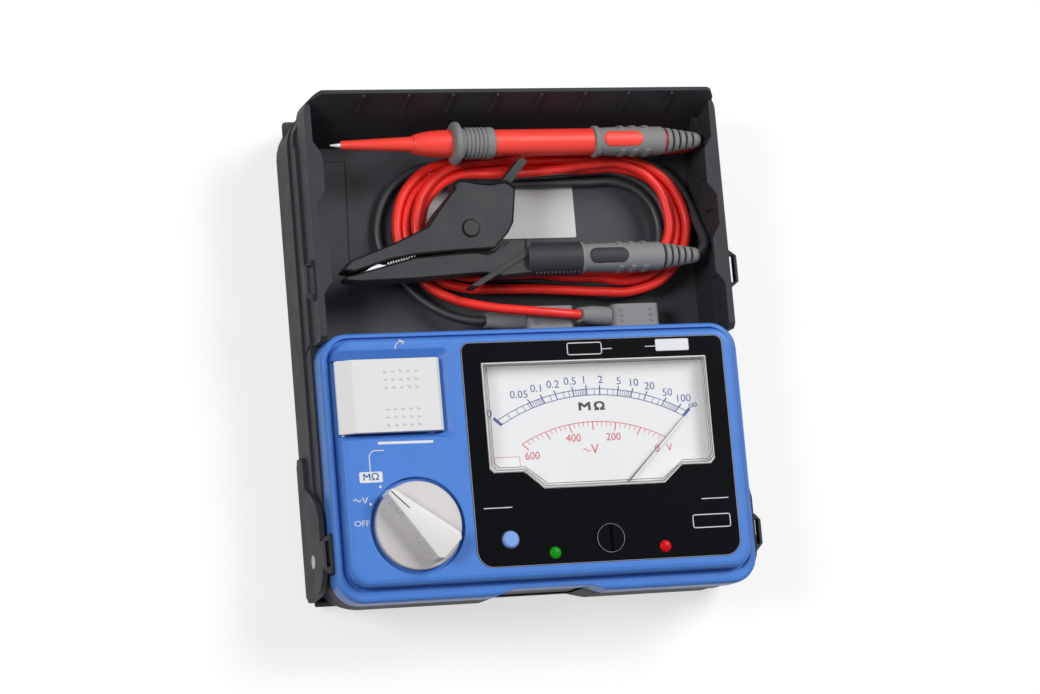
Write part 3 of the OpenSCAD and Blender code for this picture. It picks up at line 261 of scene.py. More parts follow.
def make_finishes(colours, leads):
    """Every finish, by the record's slot name or, for three that have no slot, by a name of its own."""
    return {
        # ABS from a spark-eroded mould: dull dark grey with a grain that just catches the light
        "case_plastic": moulded("spark_textured_abs", colours.case, 0.6, 0.55, 0.05, specular=0.2),
        # ABS from a smooth mould: black with a faint sheen
        "dark_plastic": moulded("smooth_black_abs", linear("#202124"), 0.5, 0.8, 0.02, specular=0.3),
        # ABS from a satin mould: soft highlights along the edges of the blue cover
        "cover_blue": moulded(
            "satin_blue_abs", colours.cover, 0.34, 0.4, 0.012, spread=0.04, specular=0.2, edge=0.7
        ),
        # Screen-printed polycarbonate sheet: deep black, hardly any sheen
        "panel_black": moulded("printed_black_sheet", colours.panel, 0.45, 0.3, 0.004, specular=0.03),
        # Moulded ABS: off-white, dull and even
        "key_white": moulded("light_moulded_abs", colours.key, 0.5, 0.5, 0.01, spread=0.025, specular=0.35),
        # Moulded ABS: dull warm grey; on the selector's disc it is painted darker as painted shade
        "knob_grey": moulded("warm_grey_abs", colours.knob, 0.5, 0.45, 0.012, spread=0.03, specular=0.35),
        # Moulded ABS of the selector's grip: the same plastic as the disc, painted paler as a painted
        # highlight on its lit top, and a little glossier
        "grip_painted_highlight": moulded("grey_abs_painted_highlight", colours.grip, 0.45, 0.45, 0.01, spread=0.03, specular=0.4),
        # Silicone rubber button: soft and matt with a faint bloom
        "button_blue": moulded("blue_silicone", colours.button, 0.65, 0.3, 0.01, spread=0.04, specular=0.3),
        # Painted sheet: flat white with no grain to see
        "scale_white": moulded(
            "painted_scale_plate", colours.scale, 0.6, 0.25, 0.003, spread=0.015, specular=0.25
        ),
        # Moulded polystyrene: plain white with a slight sheen
        "meter_white": moulded("white_polystyrene", linear("#E3E3E1"), 0.5, 0.5, 0.01, spread=0.02),
        "window_clear": clear_window("clear_polycarbonate"),
        "led_green": indicator("green_epoxy", linear("#078A0E")),
        "led_red": indicator("red_epoxy", linear("#CF0713")),
        # Thermoplastic elastomer of plugs, guard and strain reliefs: velvety grey
        "rubber_grey": moulded("grey_elastomer", leads.grip, 0.62, 0.35, 0.02, spread=0.05, specular=0.3),
        # Extruded PVC: smooth, with a soft sheen along every turn of a lead
        "lead_red": moulded("red_pvc_jacket", leads.red, 0.42, 0.6, 0.01, spread=0.05, specular=0.4),
        "lead_black": moulded("black_pvc_jacket", leads.black, 0.45, 0.6, 0.01, spread=0.08),
        # Moulded polypropylene: bright red with a waxy sheen
        "probe_red": moulded("red_moulded_pp", linear("#F9453A"), 0.4, 0.5, 0.01, spread=0.03, specular=0.4),
        # Glass-filled nylon: dry, dull near-black with a fine grain
        "clip_black": moulded(
            "glass_filled_nylon", linear("#28292D"), 0.55, 0.3, 0.02, spread=0.1, specular=0.3
        ),
        # Raised rims, jaw lines and rivet ring of the clip: the same nylon, painted a deeper black as painted
        # shade along its edges; a little smoother
        "clip_painted_shade": moulded("black_nylon_painted_shade", linear("#09090B"), 0.5, 0.5, 0.005, specular=0.12),
        # ABS floor of the lead compartment: the same ABS as the walls, painted lighter as painted light in
        # the shaded compartment; finer in grain
        "floor_painted_light": moulded("fine_textured_abs_painted_light", linear("#46474C"), 0.6, 0.4, 0.03, specular=0.2),
        # Bright nickel plate: clear highlights, drawn out along the tip
        "probe_metal": metal("nickel_plate", linear("#C9CBCC"), 0.25, 0.3, (0.2, 1, 1)),
        # Zinc plate on pressed steel: pale grey with a broad sheen
        "steel": metal("zinc_plated_steel", linear("#A9ABAE"), 0.35, 0.25),
        # Bare brass: yellowish with a broad sheen
        "brass": metal("contact_brass", linear("#C8B071"), 0.35, 0.3),
        # Machined iron: dull mid grey
        "iron_grey": metal("soft_iron", linear("#77797D"), 0.5, 0.3),
        # Printed film: flat light grey
        "plate_grey": moulded(
            "grey_printed_film", linear("#CDCDCF"), 0.5, 0.3, 0.004, spread=0.03, specular=0.3
        ),
        # Heat-shrunk film: green and fairly glossy
        "battery_jacket": moulded("shrink_film_green", linear("#4C6F52"), 0.35, 0.8, 0.005),
        # Solder mask: an even green lacquer
        "board_green": moulded("solder_mask_green", linear("#1F5B31"), 0.4, 0.4, 0.01),
        # Dipped epoxy: dull tan
        "component_tan": moulded("component_epoxy", linear("#8E7038"), 0.5, 0.5, 0.02),
        # Enamelled copper: red-brown, with the fine lines of its windings
        "copper_wire": metal("enamelled_copper", linear("#B8732C"), 0.35, 0.2, (1, 1, 8)),
        # Black lacquer: thin and dull
        "needle_black": moulded("needle_lacquer", linear("#1B1C1E"), 0.5, 0.4, 0.002),
        # Moulded phenolic: dark blue with a dull sheen
        "switch_blue": moulded("blue_phenolic", linear("#2A4A78"), 0.5, 0.5, 0.01),
    }


# Pieces and print

FINISHES = {}  # every finish by its name, once the finishes are made
INK_FILM = 0.03
INK_STEP = 0.006  # pieces of ink that overlap differ by this much in height
BOLD_STEP = 0.005  # and so do the shifted copies of a bold sign
CAPITALS = 0.729  # height of the font's capitals, as a share of its size
ARC_STEPS = 64
CIRCLE = [math.radians(a) for a in range(0, 360, 30)]
DOUBLES = 0.000002  # corners nearer than this, in metres, become one
CREASE = math.radians(40)  # edges sharper than this stay crisp


def finish_object(name, mesh, material, body):
    """Puts a mesh, already in place in metres, on a CAD body with its material."""
    made = bpy.data.objects.new(name, mesh)
    bpy.context.scene.collection.objects.link(made)
    mesh.materials.clear()
    mesh.materials.append(material)
    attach(made, body)
    return made


def curve_mesh(name, curve):
    """The mesh that a curve or a text gives; the curve itself goes."""
    holder = bpy.data.objects.new(name, curve)
    bpy.context.scene.collection.objects.link(holder)
    bpy.context.view_layer.update()
    mesh = bpy.data.meshes.new_from_object(holder.evaluated_get(bpy.context.evaluated_depsgraph_get()))
    bpy.data.objects.remove(holder)
    bpy.data.curves.remove(curve)
    return mesh


def lettering(words, height, x, y, z, stretch=1.0, turn=0.0):
    """A mesh in metres of words as a thin film of ink on the plane at z; all sizes given are in mm."""
    curve = bpy.data.curves.new("words", "FONT")
    curve.body = words
    curve.size = height / CAPITALS
    curve.align_x = "CENTER"
    curve.align_y = "CENTER"
    curve.extrude = INK_FILM / 2
    curve.resolution_u = 4
    mesh = curve_mesh("words", curve)
    place = Matrix.Translation((x, y, z + INK_FILM / 2)) @ Matrix.Rotation(turn, 4, "Z")
    mesh.transform(Matrix.Scale(MM, 4) @ place @ Matrix.Diagonal((stretch, 1, 1, 1)))
    return mesh


def ink_bar(work, start, end, width, z, film=INK_FILM):
    """Adds a straight ink line between two points, in mm, to a bmesh in metres."""
    a, b = Vector(start), Vector(end)
    along = b - a
    shape = bmesh.ops.create_cube(work, size=1)["verts"]
    turn = Matrix.Rotation(math.atan2(along.y, along.x), 4, "Z")
    size = Matrix.Diagonal((along.length, width, film, 1))
    middle = (a + b) / 2
    place = Matrix.Translation((middle.x, middle.y, z + film / 2))
    bmesh.ops.transform(work, matrix=Matrix.Scale(MM, 4) @ place @ turn @ size, verts=shape)


def spin(work, geometry, angle, steps, centre=(0, 0, 0), closed=False):
    """Sweeps part of a bmesh about an upright axis, by an angle in radians."""
    bmesh.ops.spin(
        work,
        geom=geometry,
        cent=centre,
        axis=(0, 0, 1),
        angle=angle,
        steps=steps,
        use_merge=closed,
        use_duplicate=False,
    )


def ink_arc(work, centre, radius, start, end, width, z):
    """Adds a curved ink line round a centre, in mm and degrees, to a bmesh in metres."""
    low, high = radius - width / 2, radius + width / 2
    across, up = math.cos(math.radians(start)), math.sin(math.radians(start))
    corners = [(low, z), (high, z), (high, z + INK_FILM), (low, z + INK_FILM)]
    places = [(centre[0] + r * across, centre[1] + r * up, h) for r, h in corners]
    ring = [work.verts.new([v * MM for v in place]) for place in places]
    cap = work.faces.new(ring)
    middle = (centre[0] * MM, centre[1] * MM, 0)
    spin(work, [cap, *cap.edges, *ring], math.radians(end - start), ARC_STEPS, middle)


def spot(x, y, radius):
    """Corners of a small round spot, in mm."""
    return [(x + radius * math.cos(a), y + radius * math.sin(a)) for a in CIRCLE]


def soft_box(x0, y0, x1, y1, upper=0.7, lower=None, steps=4):
    """Corners of a rectangle whose upper and lower corners are rounded, in mm."""
    corners = []
    for cx, cy, first in ((x1, y1, 0), (x0, y1, 90), (x0, y0, 180), (x1, y0, 270)):
        radius = upper if cy == y1 or lower is None else lower
        cx += -radius if cx == x1 else radius
        cy += -radius if cy == y1 else radius
        for i in range(steps + 1):
            angle = math.radians(first + 90 * i / steps)
            corners.append((cx + radius * math.cos(angle), cy + radius * math.sin(angle)))
    return corners


def ink_area(work, outline, z, film=INK_FILM):
    """Adds a filled outline of ink, in mm, to a bmesh in metres."""
    base = work.faces.new([work.verts.new((x * MM, y * MM, z * MM)) for x, y in outline])
    raised = bmesh.ops.extrude_face_region(work, geom=[base])["geom"]
    tops = [item for item in raised if isinstance(item, bmesh.types.BMVert)]
    bmesh.ops.translate(work, verts=tops, vec=(0, 0, film * MM))


def ink_line(work, points, width, z):
    """Adds a bent ink line with rounded joints, in mm; pieces that overlap differ a little in height."""
    for i, (start, end) in enumerate(zip(points, points[1:])):
        ink_bar(work, start, end, width, z, INK_FILM + INK_STEP * (i % 2))
    for i, (x, y) in enumerate(points):
        ink_area(work, spot(x, y, width / 2), z, INK_FILM + INK_STEP * (2 + i % 2))


def wave_sign(x, y, step, rise):
    """Points of the small wave that stands for alternating current, in mm."""
    return [(x + i * step, y + rise * math.sin(i * math.pi / 5)) for i in range(11)]


def add_words(work, words, height, x, y, z, bold=0.0, **options):
    """Adds lettering to a bmesh in metres; bold strokes are thickened by this many mm with shifted copies."""
    shifts = [(0, 0)]
    if bold:
        shifts = [(dx * bold / 2, dy * bold / 2) for dx in (-1, 0, 1) for dy in (-1, 1)]
    for i, (dx, dy) in enumerate(shifts):
        mesh = lettering(words, height - bold, x + dx, y + dy, z + i * BOLD_STEP, **options)
        work.from_mesh(mesh)
        bpy.data.meshes.remove(mesh)


def to_mesh(work, name):
    """Turns a bmesh into a mesh with its doubles merged, its faces outwards and its corners crisp."""
    bmesh.ops.remove_doubles(work, verts=work.verts, dist=DOUBLES)
    bmesh.ops.recalc_face_normals(work, faces=work.faces)
    for face in work.faces:
        face.smooth = True
    for edge in work.edges:
        edge.smooth = edge.calc_face_angle(math.pi) < CREASE
    mesh = bpy.data.meshes.new(name)
    work.to_mesh(mesh)
    work.free()
    return mesh


# Camera


class TESTER_OT_camera(bpy.types.Operator):
    """Place the camera where the photograph was taken from"""

    bl_idname = "tester.camera"
    bl_label = "Camera"

    def execute(self, context):
        # The camera's axes and its place in metres, solved from the straight edges of case and panel
        right = (0.95045, -0.08508, 0.299)
        up = (0.03196, 0.98347, 0.17824)
        back = (-0.30922, -0.15985, 0.93746)
        place = (-0.37425, -0.19346, 1.16)
        data = bpy.data.cameras.new("photo_camera")
        data.sensor_width = 36
        data.lens = context.scene.tester_stage.lens
        data.clip_start = 0.05
        data.clip_end = 20
        camera = bpy.data.objects.new("photo_camera", data)
        context.scene.collection.objects.link(camera)
        rows = [(right[i], up[i], back[i], place[i]) for i in range(3)]
        camera.matrix_world = Matrix((*rows, (0, 0, 0, 1)))
        context.scene.camera = camera
        return {"FINISHED"}


# Test leads

# Each lead leaves its plug, winds clockwise through its oval coil and turns back into its probe or clip.
# A coil row gives turns so far, distance in from the coil's outline and height of the lead's middle.
RED_COIL = (-42.4, 17.4, 69.4, 69.8)
RED_START = [
    (22.5, 10.6, 26.9), (18, 10.8, 28.3), (11, 11.4, 29), (2, 12.4, 28.7), (-7, 13.6, 27.7),
    (-15, 15.3, 26.4), (-22, 17.6, 25), (-28, 20.8, 23.7), (-33, 25.2, 22.8),
]
RED_TURNS = [
    (0.10, 1.8, 22.2), (0.17, 1.8, 21.9), (0.29, 1.8, 21.1), (0.50, 1.8, 21.6), (0.63, 1.8, 22.6),
    (0.78, 2.2, 21.6), (0.93, 4.2, 21.1), (1.05, 5.3, 21.1), (1.29, 5.3, 21.1), (1.50, 5.3, 21.1),
    (1.63, 5.3, 21.6), (1.74, 5.9, 21.6), (1.83, 7.8, 21.1), (1.95, 10.9, 21.1), (2.15, 11.0, 21.1),
    (2.28, 7.4, 24.0), (2.37, 6.9, 24.1), (2.46, 4.4, 24.5), (2.50, 4.6, 24.6), (2.62, 8.9, 24.5),
    (2.70, 9.2, 23.1), (2.76, 9.4, 23.0), (2.83, 9.2, 24.6), (2.93, 8.8, 24.7), (3.05, 8.3, 24.7),
    (3.17, 8.0, 24.7), (3.27, 3.8, 24.8), (3.36, 0.4, 24.8),
]
RED_END = [
    (16, 70.8, 24.2), (25, 71.4, 23.5), (34, 71.6, 22.6), (43, 71.6, 21.6), (52, 71.6, 20.4),
    (60, 71.6, 19.4), (63.9, 71.6, 19.2), (67.6, 71.6, 20.2), (70.3, 71.6, 22.9), (71.3, 71.6, 26.6),
    (70.3, 71.6, 30.3), (67.6, 71.6, 33), (63.9, 71.6, 34),
]
BLACK_COIL = (-47.2, 17.6, 69.0, 70.2)
BLACK_START = [
    (-10.8, 10.6, 21), (-15, 10.9, 20.6), (-20, 12.2, 19.4), (-25.5, 14.9, 17.8), (-31, 19, 16.2),
    (-36, 24.2, 15),
]
BLACK_TURNS = [
    (0.10, 1.8, 14.1), (0.75, 1.8, 14.1), (0.92, 5.4, 14.1), (1.05, 8.8, 14.1), (1.15, 8.7, 14.1),
    (1.28, 5.4, 14.1), (1.75, 5.3, 14.1), (1.92, 8.9, 14.1), (2.05, 12.2, 14.1), (2.15, 12.1, 14.1),
    (2.28, 8.9, 14.1), (2.75, 8.8, 14.1), (2.84, 9.8, 17.3), (2.95, 9.4, 17.6), (3.05, 10.5, 17.5),
    (3.18, 10.2, 17.5), (3.30, 7.2, 17.6), (3.42, 6.2, 17.6),
]
BLACK_END = [
    (32, 64.9, 17.6), (43, 66.2, 17.6), (52, 67, 17.6), (59.5, 65.6, 17.6), (65.2, 61.8, 17.6),
    (69, 56.2, 18.2), (70.8, 50, 20.2), (71.2, 45.6, 22.8), (71.3, 41.2, 26.2), (71.3, 36.9, 29.3),
    (70.4, 33.4, 31.3), (67.8, 30.8, 32.2), (64.3, 29.9, 32.5),
]
POINTS_PER_TURN = 20
PACE_RADIUS = 5.5  # how far in the middle turn lies, which sets the pace round the coil
ROUNDING = 1e-9


def oval_point(coil, turns, inset):
    """The point of a clockwise oval coil, from the foot of its left end, in mm."""
    x0, y0, x1, y1 = coil
    end = (y1 - y0) / 2
    middle = (y0 + y1) / 2
    radius = end - inset
    bend = math.pi * (end - PACE_RADIUS)
    straight = x1 - x0 - 2 * end
    way = (turns % 1.0) * 2 * (bend + straight)
    if way < bend:
        angle = -math.pi / 2 - way / bend * math.pi
        return x0 + end + radius * math.cos(angle), middle + radius * math.sin(angle)
    way -= bend
    if way < straight:
        return x0 + end + way, middle + radius
    way -= straight
    if way < bend:
        angle = math.pi / 2 - way / bend * math.pi
        return x1 - end + radius * math.cos(angle), middle + radius * math.sin(angle)
    return x1 - end - (way - bend), middle - radius


def coil_points(coil, rows):
    """Points along a coil, with inset and height eased from row to row."""
    count = int((rows[-1][0] - rows[0][0]) * POINTS_PER_TURN)
    points = []
    for i in range(count + 1):
        turns = rows[0][0] + (rows[-1][0] - rows[0][0]) * i / count
        after = next(k for k in range(1, len(rows)) if rows[k][0] >= turns - ROUNDING)
        low, high = rows[after - 1], rows[after]
        part = (turns - low[0]) / (high[0] - low[0])
        part = part * part * (3 - 2 * part)
        inset = low[1] + (high[1] - low[1]) * part
        height = low[2] + (high[2] - low[2]) * part
        points.append((*oval_point(coil, turns, inset), height))
    return points


def make_lead(name, points, diameter, slot):
    """One open smooth spline through the points, as thick as the lead."""
    curve = bpy.data.curves.new(name, "CURVE")
    curve.dimensions = "3D"
    curve.bevel_depth = diameter / 2
    curve.bevel_resolution = 5
    curve.resolution_u = 6
    curve.use_fill_caps = True
    spline = curve.splines.new("BEZIER")
    spline.bezier_points.add(len(points) - 1)
    for knot, point in zip(spline.bezier_points, points):
        knot.co = Vector(point) * MM
        knot.handle_left_type = "AUTO"
        knot.handle_right_type = "AUTO"
    curve.materials.append(FINISHES[slot])
    made = bpy.data.objects.new(name, curve)
    bpy.context.scene.collection.objects.link(made)
    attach(made, "case")
    return made


class TESTER_OT_leads(bpy.types.Operator):
    """Lay the two coiled test leads in the compartment"""

    bl_idname = "tester.leads"
    bl_label = "Test leads"

    def execute(self, context):
        leads = context.scene.tester_leads
        red_points = RED_START + coil_points(RED_COIL, RED_TURNS) + RED_END
        black_points = BLACK_START + coil_points(BLACK_COIL, BLACK_TURNS) + BLACK_END
        red = make_lead("red_test_lead", red_points, leads.diameter, "lead_red")
        black = make_lead("black_test_lead", black_points, leads.diameter, "lead_black")
        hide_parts("red_lead_start", "red_lead_coil", "red_lead_end")
        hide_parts("black_lead_start", "black_lead_coil", "black_lead_end")
        return {"FINISHED"}


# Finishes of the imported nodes


class TESTER_OT_finishes(bpy.types.Operator):
    """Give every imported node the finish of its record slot"""

    bl_idname = "tester.finishes"
    bl_label = "Finishes"

    def execute(self, context):
        FINISHES.update(make_finishes(context.scene.tester_colours, context.scene.tester_leads))
        for name, slot in slots_of_nodes().items():
            for place in NODES[name].material_slots:
                place.material = FINISHES[slot]
        return {"FINISHED"}


def slots_of_nodes():
    """The record's material slot of each node."""
    found = {}
    for entry in frame["record"]["subparts"]:
        found[entry["node"]] = entry["material_slot"]
    missing = sorted(set(NODES) - set(found))
    if missing:
        raise RuntimeError(f"the record gives no slot for {missing}")
    return found


# Turned and extruded shapes

TURNED_DOUBLES = 0.001


def turned(profile, closed=False, steps=72):
    """A bmesh in mm, turned about Z from a profile of radius and height."""
    work = bmesh.new()
    points = [work.verts.new((radius, 0, height)) for radius, height in profile]
    pairs = list(zip(points, points[1:])) + ([(points[-1], points[0])] if closed else [])
    edges = [work.edges.new(pair) for pair in pairs]
    spin(work, [*points, *edges], 2 * math.pi, steps, closed=True)
    bmesh.ops.remove_doubles(work, verts=work.verts, dist=TURNED_DOUBLES)
    return work


def ring_part(work, profile, middle, sweep, steps=10):
    """Adds part of a turned ring, swept in degrees about Z round its middle angle, to a bmesh in mm."""
    first = math.radians(middle - sweep / 2)
    start = [work.verts.new((r * math.cos(first), r * math.sin(first), h)) for r, h in profile]
    cap = work.faces.new(start)
    spin(work, [cap, *cap.edges, *start], math.radians(sweep), steps)


def slab(work, outline, low, high, shrink=0.0):
    """Adds an outline in mm, extruded from low to high and narrowed towards its middle, to a bmesh."""
    base = work.faces.new([work.verts.new((x, y, low)) for x, y in outline])
    raised = bmesh.ops.extrude_face_region(work, geom=[base])["geom"]
    tops = [item for item in raised if isinstance(item, bmesh.types.BMVert)]
    bmesh.ops.translate(work, verts=tops, vec=(0, 0, high - low))
    if shrink:
        middle = sum((v.co for v in tops), Vector()) / len(tops)
        for vert in tops:
            away = vert.co - middle
            vert.co -= away.normalized() * shrink


def soften(work, width, segments, limit):
    """Rounds the corners of a bmesh in mm that are sharper than the limit."""
    sharp = [e for e in work.edges if e.is_manifold and e.calc_face_angle(0) > math.radians(limit)]
    bmesh.ops.bevel(
        work,
        geom=sharp,
        offset=width,
        offset_type="OFFSET",
        affect="EDGES",
        segments=segments,
        profile=0.5,
        material=-1,
        clamp_overlap=True,
    )


def put(work, place=Matrix.Identity(4)):
    """Places a bmesh in mm with a matrix in mm and turns it to metres."""
    bmesh.ops.transform(work, matrix=Matrix.Scale(MM, 4) @ place, verts=work.verts)
    return work


def along_case(x, y, z):
    """Turns the Z axis of a turned shape so that it runs across the case from the given point."""
    return Matrix.Translation((x, y, z)) @ Matrix.Rotation(math.pi / 2, 4, "Y")


def thread(points, radius, name):
    """A mesh in metres of a thin round bead through points in mm."""
    curve = bpy.data.curves.new(name, "CURVE")
    curve.dimensions = "3D"
    curve.bevel_depth = radius
    curve.bevel_resolution = 2
    curve.use_fill_caps = True
    spline = curve.splines.new("POLY")
    spline.points.add(len(points) - 1)
    for knot, point in zip(spline.points, points):
        knot.co = (*point, 1)
    mesh = curve_mesh(name, curve)
    mesh.transform(Matrix.Scale(MM, 4))
    return mesh


def add_piece(name, work, finish, body):
    """A piece from a bmesh in metres, with its finish."""
    return finish_object(name, to_mesh(work, name), FINISHES[finish], body)


def add_turned(name, profile, place, finish, body, slot=None, **options):
    """A piece turned from a profile and moved to its place, both in mm."""
    return add_piece(name, put(turned(profile, **options), place), finish, body)


def add_thread(name, points, radius, finish, body):
    """A thin round bead through points in mm, as a piece."""
    finish_object(name, thread(points, radius, name), FINISHES[finish], body)


def add_print(name, work, ink_name, colour):
    """A piece of screen-printing ink: to the eye a thin matt film with slightly uneven cover."""
    ink = moulded(ink_name, colour, 0.6, 0.25, 0.002, mottle=2.5, spread=0.05, specular=0.2)
    finish_object(name, to_mesh(work, name), ink, "case")


# Probe

PROBE_Y = 71.6
PROBE_Z = 34.0
BARREL_X = -62.0
GUARD_X = -22.2
PROBE_BOOT_X = 30.4
PROBE_BOOT_LENGTH = 41.0
CLIP_Y = 29.9
CLIP_Z = 32.5
CLIP_BOOT_X = 21.6
CLIP_BOOT_LENGTH = 45.8
FIN_START = 14.2  # the finned taper of a boot, measured back from its end
FIN_PITCH = 2.6
FIN_COUNT = 5
FIN_RADIUS = 4.6
FIN_TAPER = 0.43  # each fin is this much smaller in radius than the one before
FIN_DEPTH = 1.25
RIB_COUNT = 3
RIB_START = 31.6  # the finger ribs of a boot, measured back from its end
RIB_PITCH = 4.6
RIB_SWEEP = 84
SPINE_SWEEP = 26
PILL_MIDDLE = 10.6  # the inset of a boot, measured from its collar
GUARD_RIB = [(5.15, 0), (5.5, 0.15), (5.65, 0.5), (5.65, 0.8), (5.5, 1.15), (5.15, 1.3)]
GUARD_RIB_COUNT = 5
GUARD_RIB_START = 5.0
GUARD_RIB_PITCH = 1.5


def boot_profile(length):
    """Collar, grip and finned taper of a strain relief, as radius and distance from the collar in mm."""
    start = length - FIN_START
    profile = [(0, 0), (5.2, 0), (5.6, 0.3), (5.7, 1.0), (5.6, 1.8), (5.2, 2.3), (4.85, 2.7), (4.85, 3.3)]
    profile += [(5.0, 5.5), (5.1, 10), (5.1, start - 1.6), (5.0, start - 0.7), (4.75, start - 0.2)]
    for i in range(FIN_COUNT):
        fin = start + i * FIN_PITCH
        outer = FIN_RADIUS - i * FIN_TAPER
        core = outer - FIN_DEPTH
        profile += [(core, fin), (core, fin + 0.9), (outer - 0.15, fin + 0.92), (outer, fin + 1.1)]
        profile += [(outer - 0.1, fin + 2.3), (outer - 0.3, fin + FIN_PITCH - 0.02)]
    profile += [(2.55, length - 0.9), (2.2, length - 0.3), (1.75, length), (0, length)]
    return profile


def make_boot(name, place, length, node_name):
    """A strain relief: turned body, spines across the fins and three finger ribs on each side."""
    work = turned(boot_profile(length))
    start = length - FIN_START
    for side in (90, 270):
        for i in range(RIB_COUNT):
            t = length - RIB_START + i * RIB_PITCH
            rib = [(4.8, t), (5.5, t + 0.25), (5.6, t + 0.7), (5.6, t + 1.7), (5.5, t + 2.1), (4.8, t + 2.4)]
            ring_part(work, rib, side, RIB_SWEEP)
        spine = [(1.5, start - 0.3), (4.55, start - 0.3), (2.7, length - 1.2), (1.5, length - 1.2)]
        ring_part(work, spine, side, SPINE_SWEEP, steps=3)
    boot = add_piece(name, put(work, along_case(*place)), "rubber_grey", "case")
    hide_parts(node_name)


def make_pill(name, place, slot):
    """The rounded inset on the front of a strain relief, which follows its round surface."""
    long, wide, lift, sunk = 14.7, 6.3, 5.32, 0.3
    work = bmesh.new()
    bmesh.ops.create_grid(work, x_segments=28, y_segments=14, size=1)
    for vert in work.verts:
        across = vert.co.y * wide / 2
        reach = long / 2 - wide / 2 + math.sqrt(max(0, (wide / 2) ** 2 - across * across))
        at_edge = max(abs(vert.co.x), abs(vert.co.y)) > 0.99
        radius = lift - (sunk if at_edge else 0)
        angle = math.pi - across / lift
        vert.co = (radius * math.cos(angle), radius * math.sin(angle), PILL_MIDDLE + vert.co.x * reach)
    bmesh.ops.recalc_face_normals(work, faces=work.faces)
    bmesh.ops.solidify(work, geom=work.faces[:], thickness=0.5)
    add_piece(name, put(work, along_case(*place)), slot, "case")


class TESTER_OT_probe(bpy.types.Operator):
    """Turn the probe's barrel, guard and strain relief in full detail"""

    bl_idname = "tester.probe"
    bl_label = "Probe"

    def execute(self, context):
        barrel = [(0, 0), (1.2, 0), (1.5, 0.35), (2.65, 25.2), (2.75, 25.8), (3.15, 26.1), (3.35, 26.6)]
        barrel += [(3.95, 29), (4.4, 31.4), (4.72, 35), (4.9, 39), (4.9, 44), (4.75, 58), (4.75, 93), (0, 93)]
        place = along_case(BARREL_X, PROBE_Y, PROBE_Z)
        piece = add_turned("probe_red_barrel", barrel, place, "probe_red", "case")
        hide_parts("probe_barrel")

        guard = [(4.6, 0), (5.3, 0), (6.9, 0.5), (7.5, 1.0), (7.7, 1.8), (7.5, 2.6)]
        guard += [(6.8, 3.1), (5.7, 3.6), (5.3, 4.4)]
        for i in range(GUARD_RIB_COUNT):
            start = GUARD_RIB_START + i * GUARD_RIB_PITCH
            guard += [(radius, start + t) for radius, t in GUARD_RIB]
        guard += [(5.4, 12.6), (5.6, 12.8), (5.6, 15.1), (5.4, 15.5), (5.0, 15.7), (4.6, 15.7)]
        place = along_case(GUARD_X, PROBE_Y, PROBE_Z)
        piece = add_turned("probe_finger_guard", guard, place, "rubber_grey", "case", closed=True)
        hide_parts("probe_guard")

        boot = (PROBE_BOOT_X, PROBE_Y, PROBE_Z)
        make_boot("probe_strain_relief", boot, PROBE_BOOT_LENGTH, "probe_boot")
        make_pill("probe_inset", boot, "probe_red")
        fin = PROBE_BOOT_LENGTH - FIN_START
        band = [(3.2, fin + 0.02), (3.9, fin + 0.02), (3.9, fin + 0.88), (3.2, fin + 0.88)]
        add_turned("probe_core_band", band, along_case(*boot), "lead_red", "case", closed=True)
        return {"FINISHED"}


# Clip

UPPER_RIM = [
    (-22.6, 55.0), (-22.6, 56.6), (-20.8, 57.7), (-18.2, 57.6), (-15, 56.9), (-12, 56.4), (-9, 56.3),
    (-6.5, 56.7), (-3.9, 57.0), (-2.2, 56.1), (-0.8, 54.8),
]
# Dark lines of painted shade along the outlines of the upper and lower jaws
UPPER_SHADE_LINE = [
    (-0.8, 54.8), (-2.6, 42.4), (-4.8, 38.8), (-9.9, 33.6), (-24.5, 33.0), (-39.1, 32.0), (-48.9, 30.3),
    (-61, 26.6), (-64.4, 27.2), (-61.6, 30.1), (-46.5, 35.5), (-33.3, 41.3), (-28.7, 47.4),
    (-22.4, 54.8),
]
LOWER_SHADE_LINE = [
    (-9.3, 32.3), (-24.5, 31.7), (-38.9, 30.6), (-60.4, 25.3), (-64.0, 24.5), (-63.6, 23.6),
    (-58.7, 23.2), (-39.5, 23.6), (-14.2, 25.1), (-7.5, 23.7), (2.7, 24.5),
]
JAW_INSERT = [
    (-57.4, 26.3), (-55.4, 27.7), (-53.2, 29.0), (-51.8, 29.2), (-50.4, 28.6), (-49.2, 28.7), (-50.6, 27.4),
]
TEETH = 11
FIRST_TOOTH = (-48.9, 28.7)
TOOTH_STEP = (0.96, 0.25)
RIVET = (-18.0, 40.6)
UPPER_TOP = CLIP_Z + 4.6  # the fronts of the two jaws
LOWER_TOP = CLIP_Z + 3.6
RIM_RADIUS = 0.62
LINE_RADIUS = 0.3
LINE_SINK = 0.05


